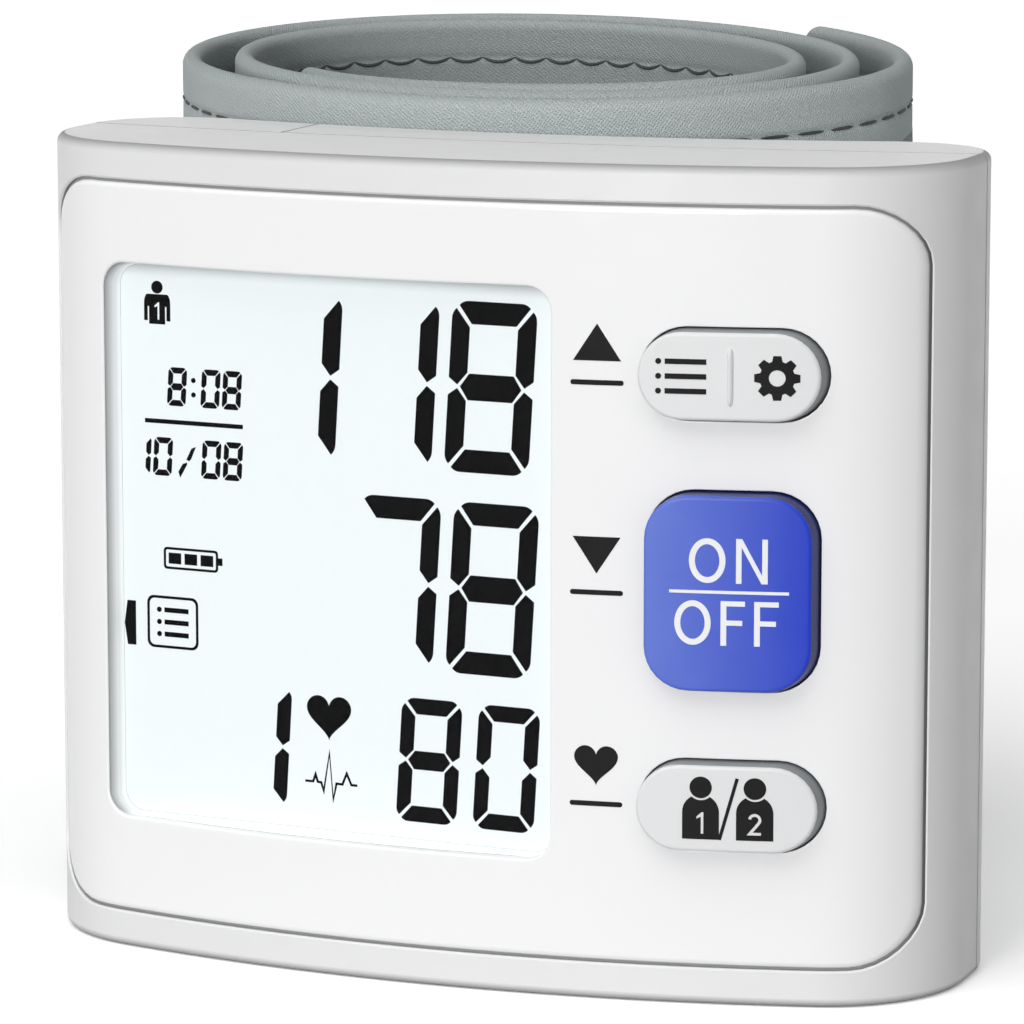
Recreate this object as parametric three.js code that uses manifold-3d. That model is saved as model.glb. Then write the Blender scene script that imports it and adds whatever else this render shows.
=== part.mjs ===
// Wrist blood pressure monitor with its cuff coiled behind it, standing on its lower edge.
// Millimetres, +Z up, the display faces -Y. The origin is under the middle of the whole object.

import * as THREE from 'three';
import { mergeVertices } from 'three/addons/utils/BufferGeometryUtils.js';
import Module from 'manifold-3d';

const wasm = await Module();
wasm.setup();

// Clearances
const FIT = 0.25; // between fixed neighbours
const PARTING_GAP = 0.2; // seam between the shells and at the battery door
const KEY_CLEARANCE = 0.25; // key to its hole
const BOARD_STANDOFF = 0.1; // solder under the parts on the board

// Front face: display on the left, keys on the right
const WINDOW_WIDTH = 39.2;
const WINDOW_HEIGHT = 45.4;
const WINDOW_CORNER = 2;
const WINDOW_SIDE_MARGIN = 8.55;
const WINDOW_TOP_MARGIN = 9.65;
const WINDOW_BOTTOM_MARGIN = 10.95;
const LABEL_STRIP = 7.15; // between the window and the keys
const PILL_WIDTH = 14.2;
const PILL_HEIGHT = 7.1;
const START_WIDTH = 13.1;
const START_HEIGHT = 15.6;
const START_CORNER = 3.6;
const KEY_GAP = 5.6; // between two keys
const KEY_SIDE_MARGIN = 8.2;

// Housing outline seen from above
const FRONT_RADIUS = 116;
const FRONT_CORNER = 12;
const REAR_RADIUS = 104;
const REAR_CORNER = 8;
const PARTING_RADIUS = 170;
const PARTING_DEPTH = 15.3; // front middle to the seam between the shells
const EDGE_FILLET = 0.7;
const WALL = 2;
const DOOR_SEAM = 18.45; // housing side to the battery door's seam
const DOOR_TONGUE = 1.6; // reach of the door's tongues past its seam
const TONGUE_THICKNESS = 0.8;

// Fascia
const FASCIA_THICKNESS = 0.9;
const FASCIA_SIDE_MARGIN = 1.9;
const FASCIA_EDGE_MARGIN = 3.2;
const FASCIA_CORNER = 4.6;

// Display behind the window
const LENS_RECESS = 0.3;
const LENS_THICKNESS = 0.8;
const GLASS_THICKNESS = 2.2;
const TRAY_WALL = 1.2;
const ZEBRA_WIDTH = 2;
const ZEBRA_INSET = 1.2;
const ZEBRA_LENGTH = 34;

// Keys
const KEY_RISE = 1.6;
const KEY_STEP = 0.8; // height of the slimmer top of a key
const KEY_DRAFT = 0.4;
const KEY_TRAVEL = 0.6;
const KEY_FLANGE = 0.8;
const FLANGE_THICKNESS = 1;
const ROCKER_DEGREES = 3;

// Board and the parts on it
const BOARD_THICKNESS = 1.2;
const BOARD_EDGE = 8.5; // housing bottom and top to the board
const BOARD_SIDE = 2; // board past the keys
const SWITCH_SIZE = 4;
const SWITCH_HEIGHT = 1.6;
const SWITCH_STEM_RADIUS = 1;
const SWITCH_STEM = 0.5;
const CHIP_SIZE = 10;
const CHIP_THICKNESS = 1.4;
const BUZZER_RADIUS = 5;
const BUZZER_HEIGHT = 3;

// Screws
const BOSS_RADIUS = 2.4;
const BOSS_ROOT = 0.5; // boss sunk into the wall beside it
const SCREW_RADIUS = 0.75;
const SCREW_HEAD_RADIUS = 1.6;
const SCREW_HEAD_HEIGHT = 1.2;
const SCREW_LENGTH = 9;
const SCREW_SINK = 1.5; // head below the rear face
const BOARD_SCREW_LENGTH = 4;
const CASE_SCREW_X = 28;
const INNER_SCREW_X = 10;

// Power: two AAA cells, upright
const CELL_DIAMETER = 10.5;
const CELL_LENGTH = 44.5;
const CELL_NUB_RADIUS = 1.9;
const CELL_NUB_HEIGHT = 0.8;
const CELL_SPACING = 0.5;
const CELL_SIDE_CLEARANCE = 0.5;
const CELL_REAR_CLEARANCE = 1.9;
const CRADLE_WALL = 0.8;
const CONTACT_SPACE = 3.4; // cell end to the cradle
const CONTACT_THICKNESS = 0.4;
const CONTACT_WIDTH = 7;
const CONTACT_BOSS_RADIUS = 1.8;
const SPRING_WIRE = 0.4;
const SPRING_WIDE_RADIUS = 3;
const SPRING_NARROW_RADIUS = 1.8;
const SPRING_TURNS = 2.5;

// Air system
const PUMP_DIAMETER = 11;
const MOTOR_LENGTH = 20;
const MOTOR_BOTTOM = 9;
const PUMP_HEAD_HEIGHT = 12;
const VALVE_DIAMETER = 8;
const VALVE_LENGTH = 13;
const MANIFOLD_WIDTH = 8;
const MANIFOLD_HEIGHT = 10;
const SENSOR_HEIGHT = 8;
const TUBE_RADIUS = 1.5;
const TUBE_RUN = 5; // valve and sensor to the manifold
const NOZZLE_RADIUS = 2.2;
const NOZZLE_BORE = 1.1;
const NOZZLE_PLUG = 2; // nozzle inside the manifold

// Cuff: one padded band in a flattened coil
const WRIST_HALF_LONG = 20.4;
const WRIST_HALF_SHORT = 14.3;
const COIL_DEGREES = 918; // from the free outer end inward
const COIL_OUTER_END = 70; // angle of the free outer end
const COIL_TURN = 22; // the long axis swings back on the left
const COIL_SHIFT = 12.7; // coil centre to the left of the housing centre
const BAND_THICKNESS = 2.9;
const BAND_GAP = 1.7;
const BAND_ROUND = 0.9;
const CUFF_RISE = 2.6; // band over the housing top, next to the housing
const CUFF_SLOPE = 0.055; // rise of the band's upper edge towards the back
const STATION_DEGREES = 7.5;
const FLAP_ROOT = -20; // angle where the free flap starts
const POCKET_START = -60;
const POCKET_END = -330;
const CLOTH = 0.65;
const POCKET_HEM = 5;
const POCKET_FIT = 0.2;
const SHAPER_THICKNESS = 0.45;
const BLADDER_THICKNESS = 0.5;
const SADDLE_THICKNESS = 2.3;
const SADDLE_HALF_DEGREES = 22.5;
const SADDLE_EDGE = 10;
const PATCH_THICKNESS = 0.5;
const PATCH_FIT = 0.2;
const PATCH_EDGE = 12;
const PATCH_DEGREES = 30;

// Sizes that follow
const WIDTH = WINDOW_SIDE_MARGIN + WINDOW_WIDTH + LABEL_STRIP + PILL_WIDTH + KEY_SIDE_MARGIN;
const HEIGHT = WINDOW_BOTTOM_MARGIN + WINDOW_HEIGHT + WINDOW_TOP_MARGIN;
const HALF = WIDTH / 2;
const WINDOW_LEFT = -HALF + WINDOW_SIDE_MARGIN;
const WINDOW_RIGHT = WINDOW_LEFT + WINDOW_WIDTH;
const WINDOW_Z = WINDOW_BOTTOM_MARGIN + WINDOW_HEIGHT / 2;
const KEY_X = HALF - KEY_SIDE_MARGIN - PILL_WIDTH / 2;
const KEY_PITCH = START_HEIGHT / 2 + KEY_GAP + PILL_HEIGHT / 2;
const START_Z = HEIGHT / 2;
const SEAM_X = -HALF + DOOR_SEAM;
const MARGIN = 20; // cutting tools reach this far past what they cut

// Front outline: a wide arc, a tighter arc at each end
const frontCornerX = HALF - FRONT_CORNER;
const frontCornerY = FRONT_RADIUS - Math.sqrt((FRONT_RADIUS - FRONT_CORNER) ** 2 - frontCornerX ** 2);
const frontAngle = Math.asin(frontCornerX / (FRONT_RADIUS - FRONT_CORNER));

function frontY(x, inset) {
  const side = Math.abs(x);
  if (side < (FRONT_RADIUS - inset) * Math.sin(frontAngle)) {
    return FRONT_RADIUS - Math.sqrt((FRONT_RADIUS - inset) ** 2 - side ** 2);
  }
  return frontCornerY - Math.sqrt((FRONT_CORNER - inset) ** 2 - (side - frontCornerX) ** 2);
}

// Display plane: a chord of the front face, so the flat lens is sunk evenly at both sides
const windowLeftY = frontY(WINDOW_LEFT, 0);
const windowRightY = frontY(WINDOW_RIGHT, 0);
const displayTilt = Math.atan2(windowRightY - windowLeftY, WINDOW_WIDTH);
const displayX = (WINDOW_LEFT + WINDOW_RIGHT) / 2;
const displayY = (windowLeftY + windowRightY) / 2 + LENS_RECESS;

const glassFront = LENS_THICKNESS + FIT;
const glassBack = glassFront + GLASS_THICKNESS;
const trayBack = glassBack + FIT + TRAY_WALL;
const trayReach = TRAY_WALL;
const trayRearmost = displayY + trayBack / Math.cos(displayTilt)
  + (WINDOW_WIDTH / 2 + trayReach) * Math.abs(Math.tan(displayTilt));

// Stack from the keys to the rear face
const flangeReach = PILL_WIDTH / 2 + KEY_FLANGE;
const rockerRise = flangeReach * Math.sin(THREE.MathUtils.degToRad(ROCKER_DEGREES));
const keyBack = frontY(KEY_X + flangeReach, WALL) + FIT + rockerRise + FLANGE_THICKNESS;
const boardFront = keyBack + Math.max(KEY_TRAVEL, rockerRise) + FIT + SWITCH_HEIGHT;
const boardBack = boardFront + BOARD_THICKNESS;
const cradleFront = trayRearmost + FIT;
const cellRadius = CELL_DIAMETER / 2;
const cellY = cradleFront + CRADLE_WALL + FIT + cellRadius;
const cellX = [0, 1].map((i) => -HALF + WALL + CELL_SIDE_CLEARANCE + cellRadius
  + i * (CELL_DIAMETER + CELL_SPACING));
const cradleRight = cellX[1] + cellRadius + FIT;
const pumpX = KEY_X + PILL_WIDTH / 8;
const pumpY = boardBack + FIT + PUMP_DIAMETER / 2;
const valveY = boardBack + FIT + VALVE_DIAMETER / 2;

// Depth of the rear face at a side distance, past its depth in the middle
function rearSag(x) {
  return REAR_RADIUS - Math.sqrt(REAR_RADIUS ** 2 - x ** 2);
}

// A round pump meets the hollow rear wall where the wall slopes, so it needs a little more room
const pumpRoom = (PUMP_DIAMETER / 2 + FIT + WALL) / Math.cos(Math.asin(pumpX / REAR_RADIUS)) - WALL;

const rearMiddle = WALL + Math.max(
  cellY + cellRadius + CELL_REAR_CLEARANCE - rearSag(cellX[1]),
  pumpY + pumpRoom - rearSag(pumpX),
  valveY + VALVE_DIAMETER / 2 + FIT,
);
const rearCornerX = HALF - REAR_CORNER;
const rearCentreY = rearMiddle + REAR_RADIUS;
const rearCornerY = rearCentreY - Math.sqrt((REAR_RADIUS + REAR_CORNER) ** 2 - rearCornerX ** 2);
const rearAngle = Math.atan2(rearCentreY - rearCornerY, -rearCornerX);

function rearY(x, inset) {
  return rearCentreY - Math.sqrt((REAR_RADIUS + inset) ** 2 - x ** 2);
}

function partingY(x, shift) {
  return PARTING_DEPTH + PARTING_RADIUS - Math.sqrt((PARTING_RADIUS - shift) ** 2 - x ** 2);
}

// Geometry helpers

const ARC_STEPS = 4;
const ROUND_STEPS = 16;
const WELD = 1e-4;

function toSolid(geometry) {
  const bare = geometry.clone();
  bare.deleteAttribute('normal');
  bare.deleteAttribute('uv');
  const welded = mergeVertices(bare, WELD);
  return new wasm.Manifold(new wasm.Mesh({
    numProp: 3,
    vertProperties: new Float32Array(welded.attributes.position.array),
    triVerts: new Uint32Array(welded.index.array),
  }));
}

function toGeometry(solid) {
  const { vertProperties, triVerts } = solid.getMesh();
  const geometry = new THREE.BufferGeometry();
  geometry.setAttribute('position', new THREE.BufferAttribute(vertProperties, 3));
  geometry.setIndex(new THREE.BufferAttribute(triVerts, 1));
  geometry.computeVertexNormals();
  return geometry;
}

function prism(shape, z0, z1) {
  const geometry = new THREE.ExtrudeGeometry(shape, {
    depth: z1 - z0,
    bevelEnabled: false,
    curveSegments: ARC_STEPS,
  });
  return geometry.translate(0, 0, z0);
}

// A prism along Y of a shape drawn in X and Z
function prismY(shape, y0, y1) {
  return prism(shape, 0, y1 - y0).rotateX(Math.PI / 2).translate(0, y1, 0);
}

function box(x0, x1, y0, y1, z0, z1) {
  const geometry = new THREE.BoxGeometry(x1 - x0, y1 - y0, z1 - z0);
  return geometry.translate((x0 + x1) / 2, (y0 + y1) / 2, (z0 + z1) / 2);
}

// A cylinder along Y
function rod(x, z, radius, y0, y1) {
  const geometry = new THREE.CylinderGeometry(radius, radius, y1 - y0, ROUND_STEPS);
  return geometry.translate(x, (y0 + y1) / 2, z);
}

// A cylinder along Z
function post(x, y, radius, z0, z1) {
  const geometry = new THREE.CylinderGeometry(radius, radius, z1 - z0, ROUND_STEPS);
  return geometry.rotateX(Math.PI / 2).translate(x, y, (z0 + z1) / 2);
}

function roundedRectangle(x, y, width, height, radius) {
  const w = width / 2;
  const h = height / 2;
  const r = Math.min(radius, w, h);
  const shape = new THREE.Shape();
  shape.absarc(x + w - r, y - h + r, r, -Math.PI / 2, 0);
  shape.absarc(x + w - r, y + h - r, r, 0, Math.PI / 2);
  shape.absarc(x - w + r, y + h - r, r, Math.PI / 2, Math.PI);
  shape.absarc(x - w + r, y - h + r, r, Math.PI, Math.PI * 1.5);
  return shape;
}

// The housing outline from above, drawn inward by the inset
function outline(inset) {
  const right = -Math.PI / 2 + frontAngle;
  const left = -Math.PI / 2 - frontAngle;
  const shape = new THREE.Shape();
  shape.absarc(0, FRONT_RADIUS, FRONT_RADIUS - inset, left, right);
  shape.absarc(frontCornerX, frontCornerY, FRONT_CORNER - inset, right, 0);
  shape.absarc(rearCornerX, rearCornerY, REAR_CORNER - inset, 0, rearAngle);
  shape.absarc(0, rearCentreY, REAR_RADIUS + inset, rearAngle - Math.PI, -rearAngle, true);
  shape.absarc(-rearCornerX, rearCornerY, REAR_CORNER - inset, Math.PI - rearAngle, Math.PI);
  shape.absarc(-frontCornerX, frontCornerY, FRONT_CORNER - inset, Math.PI, Math.PI * 2 + left);
  return shape;
}

function housingBlock(inset, z0, z1) {
  return toSolid(prism(outline(inset), z0, z1));
}

function filletedHousing() {
  const geometry = new THREE.ExtrudeGeometry(outline(0), {
    depth: HEIGHT - 2 * EDGE_FILLET,
    bevelThickness: EDGE_FILLET,
    bevelSize: EDGE_FILLET,
    bevelOffset: -EDGE_FILLET,
    bevelSegments: 2,
    curveSegments: ARC_STEPS,
  });
  return toSolid(geometry.translate(0, 0, EDGE_FILLET));
}

// Everything in front of the seam between the shells
function frontOfSeam(shift) {
  const reach = HALF + MARGIN;
  const end = Math.asin(reach / (PARTING_RADIUS - shift));
  const shape = new THREE.Shape();
  shape.moveTo(-reach, -MARGIN);
  shape.lineTo(reach, -MARGIN);
  shape.absarc(0, PARTING_DEPTH + PARTING_RADIUS, PARTING_RADIUS - shift,
    -Math.PI / 2 + end, -Math.PI / 2 - end, true);
  return toSolid(prism(shape, -MARGIN, HEIGHT + MARGIN));
}

// A closed body through equal rings of points, with flat ends
function loft(rings) {
  const count = rings[0].length;
  const positions = rings.flat().flatMap((p) => [p.x, p.y, p.z]);
  const index = [];
  for (let i = 0; i + 1 < rings.length; i += 1) {
    for (let j = 0; j < count; j += 1) {
      const a = i * count + j;
      const b = i * count + ((j + 1) % count);
      index.push(a, b, b + count, a, b + count, a + count);
    }
  }
  const last = (rings.length - 1) * count;
  for (let j = 1; j + 1 < count; j += 1) {
    index.push(0, j + 1, j, last, last + j, last + j + 1);
  }
  const geometry = new THREE.BufferGeometry();
  geometry.setAttribute('position', new THREE.Float32BufferAttribute(positions, 3));
  geometry.setIndex(signedVolume(rings, index) < 0 ? index.reverse() : index);
  geometry.computeVertexNormals();
  return geometry;
}

function signedVolume(rings, index) {
  const points = rings.flat();
  let total = 0;
  for (let i = 0; i < index.length; i += 3) {
    const [a, b, c] = [points[index[i]], points[index[i + 1]], points[index[i + 2]]];
    total += a.dot(b.clone().cross(c));
  }
  return total / 6;
}

// A tube along a curve
function tube(points, radius) {
  const circle = new THREE.Shape();
  circle.absarc(0, 0, radius, 0, Math.PI * 2);
  return new THREE.ExtrudeGeometry(circle, {
    steps: 10,
    bevelEnabled: false,
    curveSegments: 4,
    extrudePath: new THREE.CatmullRomCurve3(points),
  });
}

// A screw along Y: head at the rear, tip towards the front
function screw(x, z, headBack, length) {
  const profile = [
    [0, 0],
    [SCREW_HEAD_RADIUS, 0],
    [SCREW_HEAD_RADIUS, -SCREW_HEAD_HEIGHT],
    [SCREW_RADIUS, -SCREW_HEAD_HEIGHT],
    [SCREW_RADIUS, SCREW_RADIUS - length],
    [0, -length],
  ];
  const points = profile.map(([r, y]) => new THREE.Vector2(r, y)).reverse();
  return new THREE.LatheGeometry(points, 12).translate(x, headBack, z);
}

// Scene

const housing = new THREE.Group();
const display = new THREE.Group();
display.position.set(displayX, displayY, WINDOW_Z);
display.rotation.z = displayTilt;
housing.add(display);

function add(parent, name, geometry, color, roughness, metalness = 0) {
  const material = new THREE.MeshStandardMaterial({ color, roughness, metalness });
  const mesh = new THREE.Mesh(geometry, material);
  mesh.name = name;
  parent.add(mesh);
}

const COLORS = {
  shell: 0xe4e5e6,
  fascia: 0xf6f6f7,
  clear: 0xeef6f8,
  lcd: 0xe9f5f4,
  pill: 0xe2e4e6,
  start: 0x3450c8,
  dark: 0x2b2d30,
  board: 0x1f6a45,
  steel: 0xc4c7ca,
  nickel: 0xb9b6a8,
  cell: 0x5a6068,
  rubber: 0x3a3c3f,
  tray: 0xd7d9da,
  valve: 0x7b8086,
  hose: 0xd9dcd8,
  cloth: 0x97a09f,
  film: 0xcfd6dc,
  patch: 0x6f7676,
};

// Holes through the front

function keyShape(width, height, corner, z, grow) {
  return roundedRectangle(KEY_X, z, width + 2 * grow, height + 2 * grow, corner + grow);
}

const KEYS = [
  { name: 'mem_set_key', width: PILL_WIDTH, height: PILL_HEIGHT, corner: PILL_HEIGHT / 2,
    z: START_Z + KEY_PITCH, rocker: rockerRise, color: COLORS.pill },
  { name: 'start_key', width: START_WIDTH, height: START_HEIGHT, corner: START_CORNER,
    z: START_Z, rocker: 0, color: COLORS.start },
  { name: 'user_key', width: PILL_WIDTH, height: PILL_HEIGHT, corner: PILL_HEIGHT / 2,
    z: START_Z - KEY_PITCH, rocker: 0, color: COLORS.pill },
];

function windowShape(grow, x, z) {
  return roundedRectangle(x, z, WINDOW_WIDTH + 2 * grow, WINDOW_HEIGHT + 2 * grow,
    WINDOW_CORNER + grow);
}

function frontHoles() {
  const window = prismY(windowShape(0, 0, 0), -MARGIN, MARGIN);
  window.rotateZ(displayTilt).translate(displayX, displayY, WINDOW_Z);
  let holes = toSolid(window);
  for (const key of KEYS) {
    const shape = keyShape(key.width, key.height, key.corner, key.z, KEY_CLEARANCE);
    holes = holes.add(toSolid(prismY(shape, -MARGIN, keyBack)));
  }
  return holes;
}

const holes = frontHoles();

// Fascia and the recess it lies in

function fasciaPrism(grow) {
  const width = WIDTH - 2 * (FASCIA_SIDE_MARGIN - grow);
  const height = HEIGHT - 2 * (FASCIA_EDGE_MARGIN - grow);
  return toSolid(prismY(roundedRectangle(0, HEIGHT / 2, width, height, FASCIA_CORNER + grow),
    -MARGIN, frontCornerY));
}

function fascia() {
  const skin = housingBlock(0, 0, HEIGHT).subtract(housingBlock(FASCIA_THICKNESS, 0, HEIGHT));
  return skin.intersect(fasciaPrism(0)).subtract(holes);
}

function fasciaRecess() {
  const skin = housingBlock(-FIT, 0, HEIGHT)
    .subtract(housingBlock(FASCIA_THICKNESS + FIT, 0, HEIGHT));
  return skin.intersect(fasciaPrism(FIT));
}

// Front shell with screw bosses and board posts

const bossEdge = WALL + BOSS_RADIUS - BOSS_ROOT;
const bossZ = [bossEdge, HEIGHT - bossEdge];
const caseScrews = [CASE_SCREW_X, -INNER_SCREW_X].flatMap((x) => bossZ.map((z) => [x, z]));
const stripLeft = WINDOW_RIGHT + trayReach;
const stripRight = KEY_X - flangeReach;
const postX = (stripLeft + stripRight) / 2;
const postRadius = (stripRight - stripLeft) / 2 - 2 * FIT;
const boardBottom = BOARD_EDGE;
const boardTop = HEIGHT - BOARD_EDGE;
const boardScrewZ = [boardBottom + 2 * postRadius, boardTop - 2 * postRadius];
const pilotRadius = SCREW_RADIUS + FIT;

function frontShell() {
  let shell = filletedHousing().intersect(frontOfSeam(0));
  shell = shell.subtract(housingBlock(WALL, WALL, HEIGHT - WALL));
  const room = housingBlock((FASCIA_THICKNESS + FIT + WALL) / 2, WALL / 2, HEIGHT - WALL / 2);
  for (const [x, z] of caseScrews) {
    const end = partingY(Math.abs(x) - BOSS_RADIUS, 0) - FIT;
    const boss = toSolid(rod(x, z, BOSS_RADIUS, 0, end)).intersect(room);
    const tip = rearY(x, 0) - SCREW_SINK - SCREW_LENGTH - FIT;
    const pilot = toSolid(rod(x, z, pilotRadius, tip, end + MARGIN));
    shell = shell.add(boss).subtract(pilot);
  }
  for (const z of boardScrewZ) {
    const stand = toSolid(rod(postX, z, postRadius, 0, boardFront - FIT)).intersect(room);
    const tip = boardBack + FIT + SCREW_HEAD_HEIGHT - BOARD_SCREW_LENGTH - FIT;
    shell = shell.add(stand).subtract(toSolid(rod(postX, z, pilotRadius, tip, boardBack)));
  }
  return shell.subtract(fasciaRecess()).subtract(holes);
}

add(housing, 'front_shell', toGeometry(frontShell()), COLORS.shell, 0.45);
add(housing, 'fascia', toGeometry(fascia()), COLORS.fascia, 0.12);

// Rear shell and the battery door, one skin cut at the door's seam

function rearSkin() {
  const skin = filletedHousing().subtract(frontOfSeam(PARTING_GAP));
  return skin.subtract(housingBlock(WALL, WALL, HEIGHT - WALL));
}

function leftOf(x) {
  return toSolid(box(-HALF - MARGIN, x, -MARGIN, rearCentreY, -MARGIN, HEIGHT + MARGIN));
}

function rearShell(nozzleX) {
  let shell = rearSkin().subtract(leftOf(SEAM_X + PARTING_GAP / 2));
  const room = housingBlock(WALL / 2, WALL / 2, HEIGHT - WALL / 2);
  for (const [x, z] of caseScrews) {
    const start = partingY(Math.abs(x) + BOSS_RADIUS, 0) + FIT;
    const boss = toSolid(rod(x, z, BOSS_RADIUS, start, rearCentreY)).intersect(room);
    const bore = toSolid(rod(x, z, pilotRadius, 0, rearCentreY));
    const seat = rearY(x, 0) - SCREW_SINK - SCREW_HEAD_HEIGHT - FIT;
    const sink = toSolid(rod(x, z, SCREW_HEAD_RADIUS + FIT, seat, rearCentreY));
    shell = shell.add(boss).subtract(bore).subtract(sink);
  }
  const nozzleHole = toSolid(rod(nozzleX, HEIGHT / 2, NOZZLE_RADIUS + FIT, 0, rearCentreY));
  return shell.subtract(nozzleHole);
}

function batteryDoor() {
  const door = rearSkin().intersect(leftOf(SEAM_X - PARTING_GAP / 2));
  const inside = housingBlock(WALL + FIT, WALL + FIT, HEIGHT - WALL - FIT);
  const core = housingBlock(WALL + FIT + TONGUE_THICKNESS, 0, HEIGHT);
  const behind = toSolid(box(SEAM_X - 2 * DOOR_TONGUE, SEAM_X + DOOR_TONGUE,
    rearMiddle - WALL, rearCentreY, HEIGHT / 4, HEIGHT * 3 / 4));
  const tongue = inside.subtract(core).intersect(behind);
  const root = housingBlock(WALL / 2, WALL, HEIGHT - WALL).subtract(core)
    .intersect(toSolid(box(SEAM_X - 2 * DOOR_TONGUE, SEAM_X - DOOR_TONGUE,
      rearMiddle - WALL, rearCentreY, HEIGHT / 4, HEIGHT * 3 / 4)));
  return door.add(tongue).add(root);
}

// Display

add(display, 'display_lens',
  prismY(windowShape(-FIT, 0, 0), 0, LENS_THICKNESS), COLORS.clear, 0.06);
add(display, 'lcd_panel',
  prismY(windowShape(-FIT, 0, 0), glassFront, glassBack), COLORS.lcd, 0.3);

function lcdTray() {
  const shell = toSolid(prismY(windowShape(trayReach, 0, 0), glassFront, trayBack));
  const pocket = toSolid(prismY(windowShape(0, 0, 0), 0, glassBack + FIT));
  const slot = toSolid(box(
    WINDOW_WIDTH / 2 - ZEBRA_INSET - ZEBRA_WIDTH - FIT, WINDOW_WIDTH / 2 - ZEBRA_INSET + FIT,
    glassBack, trayBack + MARGIN,
    -ZEBRA_LENGTH / 2 - FIT, ZEBRA_LENGTH / 2 + FIT,
  ));
  const cavity = prism(outline(WALL + FIT), WALL, HEIGHT - WALL);
  cavity.translate(-displayX, -displayY, -WINDOW_Z).rotateZ(-displayTilt);
  return shell.subtract(pocket).subtract(slot).intersect(toSolid(cavity));
}

add(display, 'lcd_tray', toGeometry(lcdTray()), COLORS.tray, 0.6);

// Conducting rubber strip from the glass to the board
const zebraX = displayX + (WINDOW_WIDTH / 2 - ZEBRA_INSET - ZEBRA_WIDTH / 2) * Math.cos(displayTilt)
  - glassBack * Math.sin(displayTilt);
const zebraFront = displayY + glassBack / Math.cos(displayTilt)
  + (zebraX - ZEBRA_WIDTH / 2 - displayX) * Math.tan(displayTilt) + FIT;
add(housing, 'zebra_strip', box(zebraX - ZEBRA_WIDTH / 2 + FIT, zebraX + ZEBRA_WIDTH / 2 - FIT,
  zebraFront, boardFront - FIT,
  WINDOW_Z - ZEBRA_LENGTH / 2, WINDOW_Z + ZEBRA_LENGTH / 2), COLORS.rubber, 0.8);

// Keys: a stepped cap, and a flange that stops it behind the shell

function keySolid(key) {
  const top = toSolid(prismY(keyShape(key.width, key.height, key.corner, key.z, -KEY_DRAFT),
    -MARGIN, keyBack)).intersect(housingBlock(-KEY_RISE, 0, HEIGHT));
  const base = toSolid(prismY(keyShape(key.width, key.height, key.corner, key.z, 0),
    -MARGIN, keyBack)).intersect(housingBlock(KEY_STEP - KEY_RISE, 0, HEIGHT));
  const flange = toSolid(prismY(keyShape(key.width, key.height, key.corner, key.z, KEY_FLANGE),
    -MARGIN, keyBack)).intersect(housingBlock(WALL + FIT + key.rocker, 0, HEIGHT));
  return top.add(base).add(flange);
}

for (const key of KEYS) {
  add(housing, key.name, toGeometry(keySolid(key)), key.color, 0.35);
}

// Board, its screws and the parts on it

const boardLeft = cradleRight + CRADLE_WALL + FIT;
const boardRight = KEY_X + PILL_WIDTH / 2 + BOARD_SIDE;

function mainBoard() {
  let board = toSolid(box(boardLeft, boardRight, boardFront, boardBack, boardBottom, boardTop));
  for (const z of boardScrewZ) {
    board = board.subtract(toSolid(rod(postX, z, pilotRadius, 0, rearMiddle)));
  }
  return board.intersect(housingBlock(WALL + FIT, 0, HEIGHT));
}

add(housing, 'main_board', toGeometry(mainBoard()), COLORS.board, 0.5);
boardScrewZ.forEach((z, i) => {
  add(housing, `board_screw_${i + 1}`,
    screw(postX, z, boardBack + FIT + SCREW_HEAD_HEIGHT, BOARD_SCREW_LENGTH), COLORS.steel, 0.3, 1);
});

function switchSolid(x, z) {
  const back = boardFront - BOARD_STANDOFF;
  const front = boardFront - SWITCH_HEIGHT;
  const half = SWITCH_SIZE / 2;
  const body = toSolid(box(x - half, x + half, front + SWITCH_STEM, back, z - half, z + half));
  return body.add(toSolid(rod(x, z, SWITCH_STEM_RADIUS, front, back)));
}

const rockerReach = PILL_WIDTH / 2 - SWITCH_SIZE / 2;
const SWITCHES = [
  ['switch_memory', KEY_X - rockerReach, START_Z + KEY_PITCH],
  ['switch_set', KEY_X + rockerReach, START_Z + KEY_PITCH],
  ['switch_start', KEY_X, START_Z],
  ['switch_user', KEY_X, START_Z - KEY_PITCH],
];
for (const [name, x, z] of SWITCHES) {
  add(housing, name, toGeometry(switchSolid(x, z)), COLORS.dark, 0.5);
}

const partFront = boardBack + BOARD_STANDOFF;
const chipX = KEY_X - PILL_WIDTH / 2 - CHIP_SIZE / 2;
const upperZ = HEIGHT / 2 + KEY_PITCH;
add(housing, 'controller_chip', box(chipX - CHIP_SIZE / 2, chipX + CHIP_SIZE / 2,
  partFront, partFront + CHIP_THICKNESS, START_Z - CHIP_SIZE / 2, START_Z + CHIP_SIZE / 2),
COLORS.dark, 0.6);
add(housing, 'buzzer', rod(KEY_X, upperZ, BUZZER_RADIUS, partFront, partFront + BUZZER_HEIGHT),
  COLORS.dark, 0.5);

// Cells, contacts and the cradle that holds them

const cellBottom = HEIGHT / 2 - CELL_LENGTH / 2;
const cellTop = HEIGHT / 2 + CELL_LENGTH / 2;
const shelfBottom = cellBottom - CONTACT_SPACE;
const shelfTop = cellTop + CONTACT_SPACE;

function cell(x, nubUp) {
  const profile = [
    [0, 0],
    [cellRadius, 0],
    [cellRadius, CELL_LENGTH - CELL_NUB_HEIGHT],
    [CELL_NUB_RADIUS, CELL_LENGTH - CELL_NUB_HEIGHT],
    [CELL_NUB_RADIUS, CELL_LENGTH],
    [0, CELL_LENGTH],
  ];
  const geometry = new THREE.LatheGeometry(profile.map(([r, y]) => new THREE.Vector2(r, y)), ROUND_STEPS);
  geometry.rotateX(nubUp ? Math.PI / 2 : -Math.PI / 2);
  return geometry.translate(x, cellY, nubUp ? cellBottom : cellTop);
}

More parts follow.
